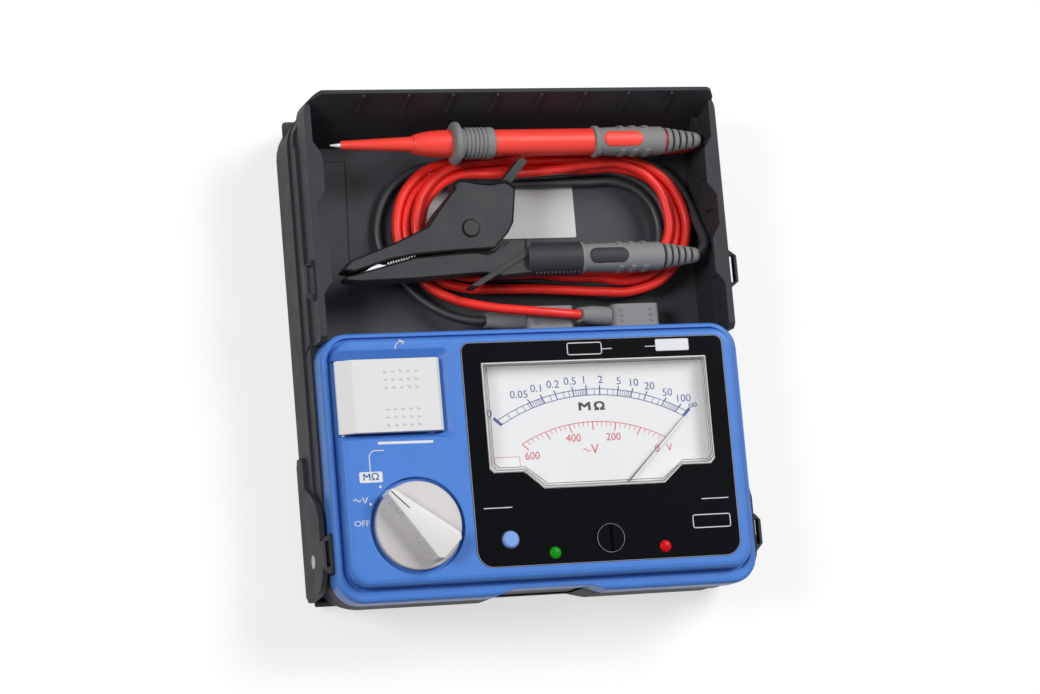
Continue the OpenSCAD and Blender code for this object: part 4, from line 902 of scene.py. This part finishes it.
class TESTER_OT_clip(bpy.types.Operator):
    """Add the clip's raised rims, rivet head, teeth and strain relief, with painted shade in dark lines along
    the jaws' edges and round the rivet
    """

    bl_idname = "tester.clip"
    bl_label = "Clip"

    def execute(self, context):
        rim = [(x, y, UPPER_TOP) for x, y in UPPER_RIM]
        add_thread("upper_jaw_rim", rim, RIM_RADIUS, "clip_painted_shade", "upper_jaw")
        line = [(x, y, UPPER_TOP - LINE_SINK) for x, y in UPPER_SHADE_LINE]
        add_thread("upper_jaw_shade_line", line, LINE_RADIUS, "clip_painted_shade", "upper_jaw")
        line = [(x, y, LOWER_TOP - LINE_SINK) for x, y in LOWER_SHADE_LINE]
        add_thread("lower_jaw_shade_line", line, LINE_RADIUS, "clip_painted_shade", "case")

        head = [(0, 0.5), (1.6, 0.48), (2.2, 0.42), (2.7, 0.25), (2.8, 0), (0, 0)]
        place = Matrix.Translation((*RIVET, UPPER_TOP + 0.02))
        add_turned("rivet_head", head, place, "clip_black", "case")
        # A dark ring of painted shade round the edge of the rivet head
        ring = [(2.75, 0), (2.75, 0.3), (2.9, 0.42), (3.15, 0.38), (3.3, 0)]
        place = Matrix.Translation((*RIVET, UPPER_TOP + 0.01))
        add_turned("rivet_shade_ring", ring, place, "clip_painted_shade", "upper_jaw", "clip_black", closed=True)

        work = bmesh.new()
        slab(work, JAW_INSERT, CLIP_Z - 0.6, CLIP_Z + 3.3, shrink=0.25)
        for i in range(TEETH):
            x, y = FIRST_TOOTH[0] + i * TOOTH_STEP[0], FIRST_TOOTH[1] + i * TOOTH_STEP[1]
            slab(work, [(x, y), (x + 0.8, y + 0.22), (x + 0.35, y + 1.0)], CLIP_Z - 0.4, CLIP_Z + 3.2)
        add_piece("jaw_insert", put(work), "steel", "case")

        boot = (CLIP_BOOT_X, CLIP_Y, CLIP_Z)
        make_boot("clip_strain_relief", boot, CLIP_BOOT_LENGTH, "clip_boot")
        make_pill("clip_inset", boot, "clip_black")
        return {"FINISHED"}


# Selector

KNOB = (-47.8, -63.4)
KNOB_POINT = 135
DISC_RADIUS = 15.2
DISC_FOOT = 42.6
DISC_TOP = 45.5
GRIP_BASE = [(16.3, 1.35), (-11.6, 6.1), (-13.4, 4.7), (-13.4, -4.7), (-11.6, -6.1), (16.3, -1.35)]
GRIP_FOOT = 45.2
GRIP_TOP = 52.88
POINT_Z = 52.87  # foot of the pointer line's ink
GRIP_TIP = (16.3, 1.55)  # where the row of side ribs would meet the tip, and half its width there
GRIP_TAPER = 0.1703
RIB_ROWS = ((13.2, 6), (-3.6, 6))  # place of the first rib of each row along the grip, and their number
SIDE_RIB_PITCH = 1.15
SIDE_RIB_SIZE = (0.5, 0.5, 5.6)
SIDE_RIB_SINK = 0.4
SIDE_RIB_Z = 49.2
SIDE_RIB_LEAN = 2.5


class TESTER_OT_selector(bpy.types.Operator):
    """Shape the selector's disc, its tapered grip with side ribs and its pointer line"""

    bl_idname = "tester.selector"
    bl_label = "Selector"

    def execute(self, context):
        place = Matrix.Translation((*KNOB, 0)) @ Matrix.Rotation(math.radians(KNOB_POINT), 4, "Z")
        disc = [(0, DISC_FOOT), (DISC_RADIUS - 0.4, DISC_FOOT), (DISC_RADIUS, 43.1), (DISC_RADIUS, 44.9)]
        disc += [(DISC_RADIUS - 0.2, 45.3), (DISC_RADIUS - 0.6, DISC_TOP), (0, DISC_TOP)]
        add_turned("selector_disc", disc, place, "knob_grey", "selector", steps=96)
        grip = bmesh.new()
        slab(grip, GRIP_BASE, GRIP_FOOT, GRIP_TOP, shrink=0.35)
        soften(grip, 0.4, segments=3, limit=25)
        size = Matrix.Diagonal((*SIDE_RIB_SIZE, 1))
        for side in (1, -1):
            lean = Matrix.Rotation(side * math.radians(SIDE_RIB_LEAN), 4, "X")
            for first, count in RIB_ROWS:
                for i in range(count):
                    x = first - i * SIDE_RIB_PITCH
                    y = side * (GRIP_TIP[1] + (GRIP_TIP[0] - x) * GRIP_TAPER)
                    rib = bmesh.ops.create_cube(grip, size=1)["verts"]
                    middle = Matrix.Translation((x, y - side * SIDE_RIB_SINK, SIDE_RIB_Z))
                    bmesh.ops.transform(grip, matrix=middle @ lean @ size, verts=rib)
        # The grip takes the paler finish: a painted highlight on the lit grip
        knob = add_piece("selector_grip", put(grip, place), "grip_painted_highlight", "selector")
        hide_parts("selector_knob")
        line = bmesh.new()
        ink_bar(line, (7.2, 0), (15.6, 0), 0.42, POINT_Z)
        bmesh.ops.transform(line, matrix=Matrix.Scale(1 / MM, 4), verts=line.verts)
        add_piece("selector_line", put(line, place), "needle_black", "selector")
        return {"FINISHED"}


# Small face parts

ZERO = (20.7, -71.0)
# A thin grey ring on the edge of the zero adjuster's head: a painted highlight
ZERO_HIGHLIGHT_RING = [(4.82, 44.48), (4.86, 44.56), (4.95, 44.6), (5.04, 44.56), (5.08, 44.45)]
BUTTON = (-15.56, -69.86)
BUTTON_GAP = [(2.92, 44.0), (2.92, 44.05), (3.25, 44.05), (3.25, 44.0)]
LENS_DOME = [(0, 44.75), (0.9, 44.7), (1.6, 44.5), (2.05, 44.2), (2.12, 44.0), (2.12, 43.9), (0, 43.9)]


def middle_of(node_name):
    """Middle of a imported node, seen from above, in mm."""
    low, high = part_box(node_name)
    return (low[0] + high[0]) / 2 / MM, (low[1] + high[1]) / 2 / MM


LENSES = [
    ("green_lens", middle_of("led_green"), "led_green"),
    ("red_lens", middle_of("led_red"), "led_red"),
]


class TESTER_OT_face_parts(bpy.types.Operator):
    """Add the grey ring of painted highlight on the zero adjuster's edge, the lenses of the lamps and the gap
    round the lamp button
    """

    bl_idname = "tester.face_parts"
    bl_label = "Face parts"

    def execute(self, context):
        place = Matrix.Translation((*ZERO, 0))
        add_turned("zero_adjuster_painted_highlight", ZERO_HIGHLIGHT_RING, place, "iron_grey", "zero_screw", closed=True)
        for name, middle, slot in LENSES:
            add_turned(name, LENS_DOME, Matrix.Translation((*middle, 0)), slot, "case", steps=40)
        place = Matrix.Translation((*BUTTON, 0))
        add_turned("button_gap", BUTTON_GAP, place, "needle_black", "case", "panel_black", closed=True)
        return {"FINISHED"}


# Compartment floor

COVER_TOP = 43.8
PANEL_TOP = 44.0
FLOOR_Z = 12.02
FLOOR_BOX = (-76.6, 5.0, 76.6, 85.4)
FLOOR_FRAME = [(-62.0, 70.9), (-54.6, 70.8), (-54.9, 59.0), (-55.7, 37.8), (-56.3, 22.0)]


class TESTER_OT_compartment(bpy.types.Operator):
    """Cover the floor of the lead compartment with a lighter skin of painted light and raise the moulding
    line on it
    """

    bl_idname = "tester.compartment"
    bl_label = "Compartment floor"

    def execute(self, context):
        # A thin skin over the floor, lighter than the case plastic: painted light
        work = bmesh.new()
        slab(work, soft_box(*FLOOR_BOX, 1.5), FLOOR_Z - 0.01, FLOOR_Z + 0.02)
        add_piece("compartment_floor_painted_light", put(work), "floor_painted_light", "case")
        line = [(x, y, FLOOR_Z) for x, y in FLOOR_FRAME]
        add_thread("floor_moulding_line", line, 0.22, "case_plastic", "case")
        return {"FINISHED"}


# Window rim

PIVOT = (20.45, -60.8)
PANEL_CORNERS = (2.9, 5.7)  # radii of the face panel's upper and lower corners
# Painted highlight and shade lines along the bevel of the window's edge: how far each line lies outside the
# window's outline, its height, its radius and its finish.
WINDOW_PAINTED_LINES = [
    ("window_painted_highlight", -0.3, 44.35, 0.3, "meter_white"),
    ("window_grey_painted_highlight", -0.75, 44.85, 0.16, "iron_grey"),
    ("window_painted_shade_line", -1.5, 45.25, 0.12, "needle_black"),
]


def window_outline(grow):
    """Outline of the meter window, wide above and stepped in below, grown by some mm."""
    middle, half, step, low = PIVOT[0], 41.3 + grow, -46.6 - grow, -52.7 - grow
    right = [(half, -8.3 + grow), (half, step + 1.6), (half - 1.6, step), (28.8, step), (22 + grow / 2, low)]
    return [(middle + x, y) for x, y in right] + [(middle - x, y) for x, y in reversed(right)]


class TESTER_OT_window_rim(bpy.types.Operator):
    """Set painted highlight and shade lines round the meter window, and a painted highlight round the face
    panel
    """

    bl_idname = "tester.window_rim"
    bl_label = "Window rim"

    def execute(self, context):
        # A grey bead along the panel's edge: a painted highlight of its bevel
        low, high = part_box("face_panel")
        edge = soft_box(low[0] / MM, low[1] / MM, high[0] / MM, high[1] / MM, *PANEL_CORNERS, steps=8)
        bead = [(x, y, PANEL_TOP - 0.05) for x, y in edge + edge[:1]]
        add_thread("panel_edge_painted_highlight", bead, 0.16, "iron_grey", "case")
        for name, grow, height, radius, finish in WINDOW_PAINTED_LINES:
            outline = window_outline(grow)
            bead = [(x, y, height) for x, y in outline + outline[:1]]
            add_thread(name, bead, radius, finish, "case")
        return {"FINISHED"}


# Needle

NEEDLE_REST = 44.7
NEEDLE_Z = 40.9
NEEDLE_BLADE = [
    (-6.2, 0.3), (-6.2, -0.3), (0, -0.42), (24, -0.19), (45.6, -0.11), (45.6, 0.11), (24, 0.19), (0, 0.42),
]


class TESTER_OT_needle(bpy.types.Operator):
    """Draw the fine lacquered needle with its hub and counterweight"""

    bl_idname = "tester.needle"
    bl_label = "Needle"

    def execute(self, context):
        work = bmesh.new()
        slab(work, NEEDLE_BLADE, NEEDLE_Z, NEEDLE_Z + 0.25)
        hub = turned([(0, 0.9), (0.8, 0.85), (1.1, 0.6), (1.2, 0), (1.2, -5.4), (0, -5.4)], steps=40)
        weight = turned([(0, 0.6), (0.8, 0.55), (0.95, 0.35), (0.95, -0.1), (0, -0.1)], steps=32)
        bmesh.ops.translate(weight, verts=weight.verts, vec=(-6.4, 0, 0))
        for part in (hub, weight):
            bmesh.ops.translate(part, verts=part.verts, vec=(0, 0, NEEDLE_Z))
            mesh = bpy.data.meshes.new("part")
            part.to_mesh(mesh)
            part.free()
            work.from_mesh(mesh)
            bpy.data.meshes.remove(mesh)
        place = Matrix.Translation((*PIVOT, 0)) @ Matrix.Rotation(math.radians(NEEDLE_REST), 4, "Z")
        needle = add_piece("fine_needle", put(work, place), "needle_black", "pointer")
        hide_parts("needle")
        return {"FINISHED"}


# Scale and panel prints

SCALE_TOP = 39.2
SCALE_CENTRE = (20.45, -86.9)
BAND_INNER = 67.0
BAND_OUTER = 69.1
BAND_LINE = 0.27
END_MARK = 1.05
MAIN_MARK = 0.4
SMALL_MARK = 0.2
FIRST_SPREAD = 1.65  # power that sets the small marks next to zero wider apart
MAIN_MARKS = [
    (0, 137.2), (0.05, 120.75), (0.1, 114.65), (0.2, 108.1), (0.5, 99.5), (1, 92.8), (2, 86.25),
    (5, 77.25), (10, 70.5), (20, 63.9), (50, 55.1), (100, 48.3), (None, 44.4),
]
MINOR_STEPS = {0: 5, 0.05: 7, 0.1: 2, 0.2: 3, 0.5: 7, 1: 2, 2: 3, 5: 7, 10: 2, 20: 3, 50: 7}
NUMBERS = [
    ("0", -17.7, -25.3), ("0.05", -6.4, -18.9), ("0.1", 0.2, -17.0), ("0.2", 6.2, -15.8),
    ("0.5", 12.6, -14.9), ("1", 17.7, -14.6), ("2", 23.8, -14.7), ("5", 30.6, -15.4),
    ("10", 35.9, -16.2), ("20", 41.8, -17.6), ("50", 48.2, -20.1), ("100", 53.9, -22.4),
    ("∞", 57.3, -24.9),
]
UNIT_SIGNS = [("M", 16.75, -24.35, 1.7), ("Ω", 22.2, -24.4, 1.45)]
UNIT_HEIGHT = 3.1
MARK_BOX = [(-17.6, -40.9), (-8.5, -40.9), (-8.5, -44.4), (-17.6, -44.4), (-17.6, -40.9)]
PRINT_SHIFT = (-0.4 * MM, -0.38 * MM, 0)  # both scales sit this far from where their centres put them
VOLT_CENTRE = (20.0, -84.9)
VOLT_RADIUS = 55.6
VOLT_LINE = 0.24
VOLT_MARK = 0.34
VOLT_STEPS = 5
VOLT_SIGN = 27 / 22  # height of the sign between the figures, as a share of theirs
VOLT_MARKS = [137.9, 122.9, 107.5, 91.7, 76.0, 59.9, 44.2]
VOLT_NUMBERS = [
    ("600", -3.4, -40.5), ("400", 12.1, -34.9), ("200", 26.8, -35.0), ("0", 42.6, -39.8), ("V", 47.1, -39.6),
]


def on_circle(angle, centre, radius):
    """Where the ray from the needle's pivot at an angle meets a circle, in mm."""
    ray = Vector((math.cos(math.radians(angle)), math.sin(math.radians(angle))))
    away = Vector(PIVOT) - Vector(centre)
    half = ray.dot(away)
    reach = -half + math.sqrt(half * half - away.length_squared + radius * radius)
    return Vector(PIVOT) + ray * reach


def mark(work, angle, centre, low, high, width):
    """Adds a mark between two radii of a scale, on the ray from the pivot at an angle, to a bmesh."""
    ink_bar(work, on_circle(angle, centre, low), on_circle(angle, centre, high), width, SCALE_TOP)


def arc_angles(centre, radius, angle_from, angle_to):
    """The angles about a circle's centre of two rays from the pivot, in degrees."""
    found = []
    for angle in (angle_from, angle_to):
        point = on_circle(angle, centre, radius) - Vector(centre)
        found.append(math.degrees(math.atan2(point.y, point.x)))
    return found


def minor_angles(value, low, following, high):
    """Angles of the small marks between two main marks."""
    count = MINOR_STEPS.get(value, 0)
    angles = []
    for i in range(1, count):
        part = i / count
        if value == 0:
            part = 1 - (1 - part) ** FIRST_SPREAD
        else:
            part = math.log(1 + part * (following / value - 1)) / math.log(following / value)
        angles.append(low + (high - low) * part)
    return angles


class TESTER_OT_scale_print(bpy.types.Operator):
    """Print both scales on the plate behind the needle"""

    bl_idname = "tester.scale_print"
    bl_label = "Scale print"

    def execute(self, context):
        ink = context.scene.tester_print
        height = ink.number_height / MM
        blue = bmesh.new()
        first, last = MAIN_MARKS[0][1], MAIN_MARKS[-1][1]
        for radius in (BAND_INNER, BAND_OUTER):
            ends = arc_angles(SCALE_CENTRE, radius, last, first)
            ink_arc(blue, SCALE_CENTRE, radius, *ends, BAND_LINE, SCALE_TOP)
        for i, (value, angle) in enumerate(MAIN_MARKS):
            width = END_MARK if value in (0, None) else MAIN_MARK
            mark(blue, angle, SCALE_CENTRE, BAND_INNER - 0.1, BAND_OUTER + 1.4, width)
            if i + 1 < len(MAIN_MARKS):
                following, high = MAIN_MARKS[i + 1]
                for small in minor_angles(value, angle, following, high):
                    mark(blue, small, SCALE_CENTRE, BAND_INNER, BAND_OUTER, SMALL_MARK)
        for words, x, y in NUMBERS:
            turn = math.radians(10) if words == "∞" else 0
            add_words(blue, words, height, x, y, SCALE_TOP, stretch=1.04, turn=turn)
        bmesh.ops.translate(blue, verts=blue.verts, vec=PRINT_SHIFT)
        add_print("resistance_scale", blue, "blue_ink", ink.blue)

        red = bmesh.new()
        ends = arc_angles(VOLT_CENTRE, VOLT_RADIUS, VOLT_MARKS[-1], VOLT_MARKS[0])
        ink_arc(red, VOLT_CENTRE, VOLT_RADIUS, *ends, VOLT_LINE, SCALE_TOP)
        for i, angle in enumerate(VOLT_MARKS):
            mark(red, angle, VOLT_CENTRE, VOLT_RADIUS - 3.0, VOLT_RADIUS, VOLT_MARK)
            for k in range(1, VOLT_STEPS):
                if i + 1 < len(VOLT_MARKS):
                    small = angle + (VOLT_MARKS[i + 1] - angle) * k / VOLT_STEPS
                    mark(red, small, VOLT_CENTRE, VOLT_RADIUS - 1.6, VOLT_RADIUS, SMALL_MARK)
        for words, x, y in VOLT_NUMBERS:
            add_words(red, words, height, x, y, SCALE_TOP, stretch=0.98)
        add_words(red, "V", height * VOLT_SIGN, 19.6, -39.1, SCALE_TOP)
        ink_line(red, wave_sign(15.4, -39.2, 0.25, 0.42), 0.26, SCALE_TOP)
        bmesh.ops.translate(red, verts=red.verts, vec=PRINT_SHIFT)
        ink_line(red, MARK_BOX, 0.16, SCALE_TOP)
        add_print("voltage_scale", red, "red_ink", ink.red)

        unit = bmesh.new()
        for sign, x, y, stretch in UNIT_SIGNS:
            add_words(unit, sign, UNIT_HEIGHT, x, y, SCALE_TOP, bold=0.3, stretch=stretch)
        add_print("scale_unit", unit, "black_ink", linear("#0B0B0C"))
        return {"FINISHED"}


# Face print

# A line has its points and its width, a tag its corners, the line's width if it is outlined, and its plane.
COVER_LINES = [
    ([(-59.3, -34.62), (-40.4, -34.78)], 0.95),
    ([(-63.08, -44.3), (-63.1, -39.06), (-62.57, -37.86), (-61.37, -37.11), (-57.92, -37.13)], 0.36),
    ([(-50.94, -2.22), (-50.6, -1.0), (-50.0, -0.2), (-49.15, 0.2), (-47.6, 0.05)], 0.36),
    ([(-49.3, 0.7), (-47.58, 0.05), (-48.4, -0.7)], 0.36),
]
PANEL_LINES = [
    ([(-24.0, -58.75), (-14.0, -58.7)], 0.32),
    ([(55.6, -58.95), (65.4, -58.9)], 0.32),
    ([(23.7, -4.8), (27.3, -4.75)], 0.3),
    ([(39.8, -4.45), (43.6, -4.4)], 0.3),
]
LABEL_LINE = [(-25.5, 61.3), (27.6, 60.8)]
LABEL_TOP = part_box("floor_plate_label")[1][2] / MM
DOTS = [(-60.0, -49.53), (-63.86, -55.34)]
FILLED_TAGS = [(-67.1, -48.0, -58.9, -44.3, COVER_TOP), (43.6, -6.2, 56.0, -2.0, PANEL_TOP)]
OUTLINED_TAGS = [(11.0, -6.5, 23.5, -2.4, 0.34, PANEL_TOP), (51.6, -69.0, 65.4, -64.5, 0.34, PANEL_TOP)]
# Words, height and place of the middle.
FACE_WORDS = [("V", 2.35, -65.7, -54.1), ("OFF", 2.05, -67.4, -61.85)]


class TESTER_OT_face_print(bpy.types.Operator):
    """Print the white lines, tags and words on the cover and the black panel"""

    bl_idname = "tester.face_print"
    bl_label = "Face print"

    def execute(self, context):
        ink = context.scene.tester_print
        work = bmesh.new()
        for points, width in COVER_LINES:
            ink_line(work, points, width, COVER_TOP)
        for points, width in PANEL_LINES:
            ink_line(work, points, width, PANEL_TOP)
        for x, y in DOTS:
            ink_area(work, spot(x, y, 0.5), COVER_TOP)
        for x0, y0, x1, y1, z in FILLED_TAGS:
            ink_area(work, soft_box(x0, y0, x1, y1, 0.5), z)
        for x0, y0, x1, y1, width, z in OUTLINED_TAGS:
            corners = soft_box(x0, y0, x1, y1)
            ink_line(work, corners + corners[:1], width, z)
        ink_line(work, wave_sign(-69.7, -53.9, 0.24, 0.4), 0.4, COVER_TOP)
        for words, height, x, y in FACE_WORDS:
            add_words(work, words, height, x, y, COVER_TOP, stretch=1.12)
        add_print("face_print", work, "white_ink", ink.white)
        unit = bmesh.new()
        add_words(unit, "MΩ", 2.5, -63.0, -46.15, COVER_TOP + INK_FILM, bold=0.08, stretch=1.15)
        add_print("selector_unit", unit, "cover_blue_ink", shaded(context.scene.tester_colours.cover, 0.9))
        rule = bmesh.new()
        ink_line(rule, LABEL_LINE, 0.3, LABEL_TOP)
        add_print("label_rule", rule, "label_black_ink", linear("#1E1E20"))
        return {"FINISHED"}


# Stage

FLOOR_HALF = 6  # half the paper's width, in metres
FLOOR_DROP = 0.3  # how far the paper lies under the case
PAPER_TONES = (0.38, 0.4)  # shares of the floor's colour that light the object
PAPER_GLOW = 0.66
ROOM_FILL = 0.13
MAIN_SOFTBOX = ((0.95, 0.65, 1.4), 0.75)  # place and size in metres
LEFT_SOFTBOX = ((-1.0, 0.1, 1.1), 0.4)
WHITE = (1, 1, 1, 1)
LOOKING = ("Is Camera Ray", "Is Glossy Ray", "Is Transmission Ray")  # rays that show a thing to the eye


class TESTER_OT_stage(bpy.types.Operator):
    """Lay the pale floor and light the studio"""

    bl_idname = "tester.stage"
    bl_label = "Stage"

    def execute(self, context):
        stage = context.scene.tester_stage
        work = bmesh.new()
        bmesh.ops.create_grid(work, x_segments=1, y_segments=1, size=FLOOR_HALF)
        bmesh.ops.translate(work, verts=work.verts, vec=(0, 0, -FLOOR_DROP * MM))
        floor = bpy.data.objects.new("studio_floor", to_mesh(work, "studio_floor"))
        context.scene.collection.objects.link(floor)
        floor.data.materials.append(self.floor_finish(stage.floor))
        self.light_room(context, stage)
        context.scene.view_settings.view_transform = "Standard"
        return {"FINISHED"}

    def floor_finish(self, colour):
        """Seamless matt paper: white to the eye, grey to the object, clear from below; shadows stay on it."""
        material, tree, shader, place = surface("seamless_paper")
        fibre = node(tree, "ShaderNodeTexNoise", {"Vector": place}, {"Scale": 1 / (30 * MM), "Detail": 3})
        dark, light = [with_alpha(shaded(colour, share)) for share in PAPER_TONES]
        tone = node(
            tree, "ShaderNodeMix", {"Factor": fibre.outputs["Fac"]}, {"A": dark, "B": light}, data_type="RGBA"
        )
        tree.links.new(tone.outputs["Result"], shader.inputs["Base Color"])
        shader.inputs["Roughness"].default_value = 0.95
        shader.inputs["Specular IOR Level"].default_value = 0.0
        seen = any_ray(tree, *LOOKING)
        lift = node(tree, "ShaderNodeMapRange", {"Value": seen}, {"To Min": 0.0, "To Max": PAPER_GLOW})
        glow = node(tree, "ShaderNodeEmission", {"Strength": lift.outputs["Result"]}, {"Color": WHITE})
        both = node(tree, "ShaderNodeAddShader", {0: shader.outputs["BSDF"], 1: glow.outputs["Emission"]})
        below = node(tree, "ShaderNodeNewGeometry").outputs["Backfacing"]
        clear = node(tree, "ShaderNodeBsdfTransparent")
        links = {0: below, 1: both.outputs[0], 2: clear.outputs[0]}
        show(tree, node(tree, "ShaderNodeMixShader", links).outputs[0])
        return material

    def light_room(self, context, stage):
        """A room that is white to the eye and dim to the object, with a large lamp and a small one."""
        world = bpy.data.worlds.new("studio_room")
        world.use_nodes = True
        tree = world.node_tree
        tree.nodes.clear()
        seen = any_ray(tree, *LOOKING)
        fill = node(tree, "ShaderNodeBackground", values={"Color": WHITE, "Strength": ROOM_FILL})
        white = node(tree, "ShaderNodeBackground", values={"Color": WHITE, "Strength": 1.0})
        mix = node(tree, "ShaderNodeMixShader", {0: seen, 1: fill.outputs[0], 2: white.outputs[0]})
        node(tree, "ShaderNodeOutputWorld", {"Surface": mix.outputs[0]})
        context.scene.world = world
        self.lamp(context, "main_softbox", *MAIN_SOFTBOX, stage.softbox)
        self.lamp(context, "left_softbox", *LEFT_SOFTBOX, stage.side_lamp)

    def lamp(self, context, name, place, size, power):
        """A square lamp that faces the middle of the scene."""
        data = bpy.data.lights.new(name, "AREA")
        data.shape = "SQUARE"
        data.size = size
        data.energy = power
        lamp = bpy.data.objects.new(name, data)
        context.scene.collection.objects.link(lamp)
        lamp.location = place
        lamp.rotation_mode = "QUATERNION"
        lamp.rotation_quaternion = Vector(place).to_track_quat("Z", "Y")


class TESTER_PT_panel(bpy.types.Panel):
    """Settings and pieces of the tester"""

    bl_idname = "TESTER_PT_panel"
    bl_label = "Insulation tester"
    bl_space_type = "VIEW_3D"
    bl_region_type = "UI"
    bl_category = "Tester"

    def draw(self, context):
        for group in ("tester_colours", "tester_leads", "tester_print", "tester_stage"):
            settings = getattr(context.scene, group)
            box = self.layout.box()
            for name in settings.bl_rna.properties.keys():
                if name not in ("rna_type", "name"):
                    box.prop(settings, name)
        for operator in STEPS:
            self.layout.operator(operator.bl_idname)


STEPS = [
    TESTER_OT_camera,
    TESTER_OT_finishes,
    TESTER_OT_leads,
    TESTER_OT_probe,
    TESTER_OT_clip,
    TESTER_OT_selector,
    TESTER_OT_face_parts,
    TESTER_OT_compartment,
    TESTER_OT_window_rim,
    TESTER_OT_needle,
    TESTER_OT_scale_print,
    TESTER_OT_face_print,
    TESTER_OT_stage,
]
GROUPS = {
    "tester_colours": CaseColours,
    "tester_leads": LeadSettings,
    "tester_print": PrintSettings,
    "tester_stage": StageSettings,
}


def register():
    for group in GROUPS.values():
        bpy.utils.register_class(group)
    for name, group in GROUPS.items():
        setattr(bpy.types.Scene, name, PointerProperty(type=group))
    for step in STEPS:
        bpy.utils.register_class(step)
    bpy.utils.register_class(TESTER_PT_panel)


def unregister():
    bpy.utils.unregister_class(TESTER_PT_panel)
    for step in reversed(STEPS):
        bpy.utils.unregister_class(step)
    for name, group in GROUPS.items():
        delattr(bpy.types.Scene, name)
        bpy.utils.unregister_class(group)


def main():
    register()
    for step in STEPS:
        group, name = step.bl_idname.split(".")
        getattr(getattr(bpy.ops, group), name)()


if __name__ == "__main__":
    main()
